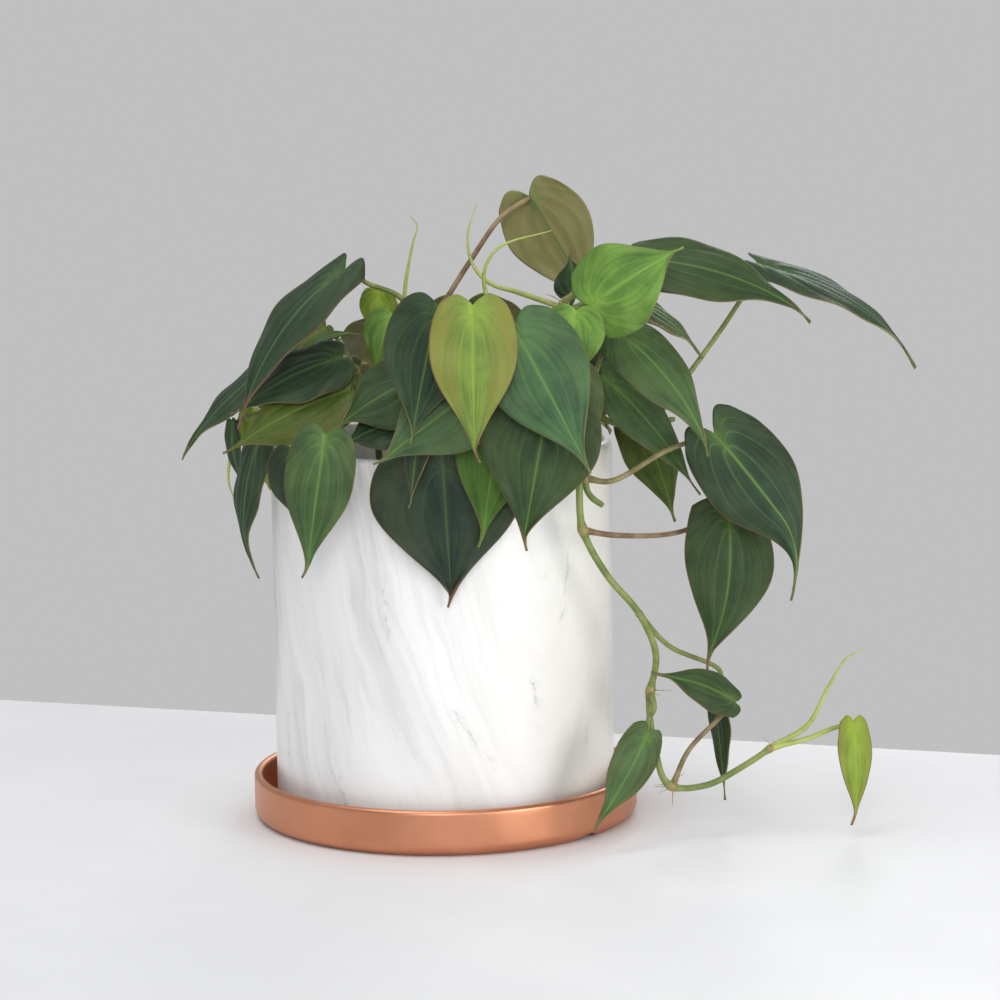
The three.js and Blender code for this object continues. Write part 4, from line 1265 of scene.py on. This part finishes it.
def line_near(round_wall, height, start, end):
    """How near a point of the wall is to a fine line: 1 on it, 0 away from it."""
    (x0, z0), (x1, z1) = start, end
    dx, dz = x1 - x0, z1 - z0
    length = dx * dx + dz * dz
    share = ((round_wall - x0) * dx + (height - z0) * dz) / length
    share = share.clamped()
    off_x = round_wall - x0 - share * dx
    off_z = height - z0 - share * dz
    distance = (off_x * off_x + off_z * off_z).do("SQRT")
    core = distance.bell(0.35)
    halo = distance.bell(2.2)
    fade = 1 - 0.7 * abs(share - 0.5)
    return (core * 0.55 + halo * 0.16) * fade


def marbled_finish():
    """White satin glaze with soft grey marbling that swirls round the wall, a few dark hairlines, random
    cream patches and a painted warm reflection on its right side.
    """
    material, tree, shader = new_finish(
        "marbled_glaze", Roughness=0.28, Specular_IOR_Level=0.5, Coat_Weight=0.25,
        Coat_Roughness=0.12)
    place = own_place(tree)
    x, y, z = split(tree, scaled(tree, place, 1000.0))
    radius = POT_RADIUS / MM
    angle = number(tree, "ARCTAN2", x, -y)
    round_wall = angle * radius
    turn = (round_wall - SWIRL_AT) / (2 * math.pi * radius) + 0.5
    from_swirl = (turn.do("FRACT") - 0.5) * (2 * math.pi * radius)
    bent = z - from_swirl * from_swirl * SWIRL_BEND
    slope = from_swirl * (2 * SWIRL_BEND)
    line = bent / (slope * slope + 1).do("SQRT")
    wander = noise(tree, joined(tree, x, y, z), 0.02, detail=2.0) - 0.5
    line = line + wander * LINE_WANDER
    low = joined(tree, line, z * 0.07, x * 0.06 + y * 0.05)
    broad = noise(tree, low, 0.07, detail=2.5, roughness=0.5)
    fine = noise(tree, low, 0.3, detail=3.0, roughness=0.6)
    drift = noise(tree, joined(tree, x, y, z * 0.7), 0.018, detail=2.0)
    calm = abs(from_swirl).step(10.0, 75.0, 0.3, 1.0)
    amount = drift.step(0.3, 0.7, 0.45, 1.0) * calm
    streak = (broad.step(0.42, 0.72) * 0.55 + fine.step(0.42, 0.74) * 0.45) * amount
    colour = mixed(tree, streak * 0.85, GLAZE_WHITE, GLAZE_GREY)
    warm = noise(tree, joined(tree, x, y, z * 0.4), 0.012, detail=1.0).step(0.42, 0.75)
    # Painted reflection: the right side of the wall turns cream as if it reflected warm surroundings,
    # over the random cream patches of warm.
    painted_warm_reflection = round_wall.step(20.0, 100.0) * (1 - round_wall.step(150.0, 220.0))
    colour = mixed(tree, warm * 0.3 + painted_warm_reflection * 0.4, colour, CREAM_TINT_AND_REFLECTION)
    wobble = noise(tree, joined(tree, x, y, z), 0.13, detail=4.0, roughness=0.6) - 0.5
    lines = None
    for start, end in HAIRLINES:
        near = line_near(round_wall + wobble * VEIN_SWAY, z + wobble * VEIN_LIFT, start, end)
        lines = near if lines is None else number(tree, "MAXIMUM", lines, near)
    dashes = noise(tree, joined(tree, x, y, z), 0.22, detail=4.0).step(0.36, 0.64)
    outside = ((x * x + y * y).do("SQRT")).step(radius - 4, radius - 3)
    colour = mixed(tree, lines * (0.15 + dashes * 0.6) * outside, colour, VEIN_GREY)
    tree.links.new(colour.socket, shader.inputs["Base Color"])
    orange_peel = noise(tree, place, 160.0, detail=2.0)
    feed(tree, shader.inputs["Roughness"], 0.25 + orange_peel * 0.08)
    raised(tree, shader, orange_peel, 0.25 * MM, 0.35)
    return material


COPPER = ((0.60, 0.260, 0.145), (0.66, 0.292, 0.168))
COPPER_FOOT_SHADE = (0.45, 0.20, 0.12)  # painted shade near the table


def copper_finish():
    """Satin copper-coloured metallic glaze, faintly cloudy, with painted shade darkening it at its foot
    by the table.
    """
    material, tree, shader = new_finish("copper_glaze", Metallic=1.0, Roughness=0.33)
    place = own_place(tree)
    clouds = noise(tree, place, 45.0, detail=4.0)
    grain = noise(tree, place, 2600.0, detail=2.0)
    _, _, z = split(tree, place)
    colour = mixed(tree, clouds.step(0.35, 0.65), *COPPER)
    # Painted shade: the lowest 4 mm of the saucer darkens towards the table.
    low = z.step(0.0, 4 * MM, 0.35, 0.0)
    colour = mixed(tree, low, colour, COPPER_FOOT_SHADE)
    tree.links.new(colour.socket, shader.inputs["Base Color"])
    feed(tree, shader.inputs["Roughness"], 0.30 + clouds * 0.06 + grain * 0.05)
    raised(tree, shader, grain, 0.08 * MM, 0.5)
    return material


SOIL_CRUMBS = ((0.020, 0.013, 0.009), (0.075, 0.050, 0.033))
SOIL_PATCH = (0.10, 0.065, 0.04)
PERLITE = ((0.50, 0.47, 0.42), (0.72, 0.70, 0.66))


def soil_finish():
    """Damp dark mix; grains marked pale are perlite."""
    material, tree, shader = new_finish("potting_soil", Roughness=0.9, Specular_IOR_Level=0.25)
    place = own_place(tree)
    crumbs = noise(tree, place, 700.0, detail=5.0, roughness=0.7)
    patches = noise(tree, place, 90.0, detail=3.0)
    colour = mixed(tree, crumbs.step(0.3, 0.7), *SOIL_CRUMBS)
    colour = mixed(tree, patches.step(0.45, 0.7) * 0.5, colour, SOIL_PATCH)
    perlite = mixed(tree, crumbs.step(0.3, 0.7), *PERLITE)
    colour = mixed(tree, fact(tree, "pale"), colour, perlite)
    tree.links.new(colour.socket, shader.inputs["Base Color"])
    raised(tree, shader, crumbs, 0.8 * MM)
    return material


# ---- the whole plant ----------------------------------------------------------------------------


def settle(piece, node):
    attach(piece, "root")
    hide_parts(node)


def leaf_slot(leaf):
    if "slot" in leaf:
        return leaf["slot"]
    if leaf["tone"] in YOUNG_TONES:
        return "young_leaf"
    return "bright_leaf" if leaf["tone"] in BRIGHT_TONES else "velvet_leaf"


def grow_plant():
    blades = blade_tree()
    stems = stem_tree()
    stem = stem_finish()
    finishes = {
        "velvet_leaf": leaf_finish("velvet_leaf", (0.31, 0.30, 0.12), (0.72, 0.9, 1.0), 0.46),
        "bright_leaf": leaf_finish("bright_leaf", (0.15, 0.17, 0.07), (0.85, 1.0, 0.8), 0.42),
        "young_leaf": leaf_finish("young_leaf", (0.22, 0.22, 0.07), (1.0, 0.95, 0.7), 0.40),
    }
    seed = 0
    for name, vine in VINES.items():
        strands = stem_strands(vine).mesh(name + "_strands")
        seed += 1
        settle(grown(name + "_stems", strands, stems, stem, Seed=seed), name + "_vine")
        for i, leaf in enumerate(vine["leaves"], 1):
            slot = leaf_slot(leaf)
            node = f"{name}_leaf_{i}"
            seed += 1
            settle(make_blade(node + "_blade", leaf, blades, finishes[slot], seed), node)


def make_holder():
    pot = make_pot()
    pot.data.materials.append(marbled_finish())
    settle(pot, "pot")
    saucer = make_saucer()
    saucer.data.materials.append(copper_finish())
    settle(saucer, "saucer")
    soil = grown("loose_soil", soil_bed(), soil_tree(), soil_finish(), Top=SOIL_HEIGHT - 3.2 * MM)
    settle(soil, "soil")


# ---- floor and light ----------------------------------------------------------------------------

FLOOR_TURN = math.radians(-17.3)
FLOOR_BEHIND = 0.176  # how far the pale floor reaches behind the pot
FLOOR_PALE = ((0.79, 0.795, 0.81), (0.82, 0.825, 0.84))
FLOOR_HALF_WIDTH = 3.0
FLOOR_DEPTH = 4.0
WALL_GREY = (0.525, 0.525, 0.53)

# Each light: its name, where it is, what it points at, its size and its power in watts.
LIGHTS = [
    ("overhead", (-0.4, -0.3, 2.0), (0.02, -0.1, 0), 1.2, 13),
    ("front", (-0.1, -2.0, 0.9), (0.02, 0, 0.1), 0.7, 10.5),
    ("side", (1.0, -0.95, 0.30), (0.02, 0, 0.04), 0.7, 7),
    ("behind", (0.5, 1.6, 1.1), (0.02, 0, 0.1), 0.9, 6),
]


def make_floor():
    material, tree, shader = new_finish("pale_floor", Roughness=0.5, Specular_IOR_Level=0.3)
    soft = noise(tree, own_place(tree), 9.0, detail=3.0)
    colour = mixed(tree, soft.step(0.35, 0.65), *FLOOR_PALE)
    tree.links.new(colour.socket, shader.inputs["Base Color"])
    half, depth = FLOOR_HALF_WIDTH, FLOOR_DEPTH
    corners = [(-half, -depth, 0), (half, -depth, 0), (half, 0, 0), (-half, 0, 0)]
    place = Matrix.Translation((0, FLOOR_BEHIND, 0)) @ Matrix.Rotation(FLOOR_TURN, 4, "Z")
    mesh = bpy.data.meshes.new("floor")
    mesh.from_pydata([place @ Vector(c) for c in corners], [], [(0, 1, 2, 3)])
    mesh.materials.append(material)
    floor = bpy.data.objects.new("floor", mesh)
    bpy.context.scene.collection.objects.link(floor)


def soft_light(name, place, aim, size, power):
    light = bpy.data.lights.new(name, "AREA")
    light.shape = "DISK"
    light.size = size
    light.energy = power
    lamp = bpy.data.objects.new(name, light)
    bpy.context.scene.collection.objects.link(lamp)
    direction = Vector(aim) - Vector(place)
    turn = direction.to_track_quat("-Z", "Y").to_matrix().to_4x4()
    lamp.matrix_world = Matrix.Translation(place) @ turn


def light_studio():
    world = bpy.data.worlds.new("studio")
    world.use_nodes = True
    world.node_tree.nodes["Background"].inputs["Color"].default_value = (*WALL_GREY, 1)
    bpy.context.scene.world = world
    bpy.context.scene.view_settings.view_transform = "Standard"
    for light in LIGHTS:
        soft_light(*light)


make_holder()
grow_plant()
make_floor()
light_studio()
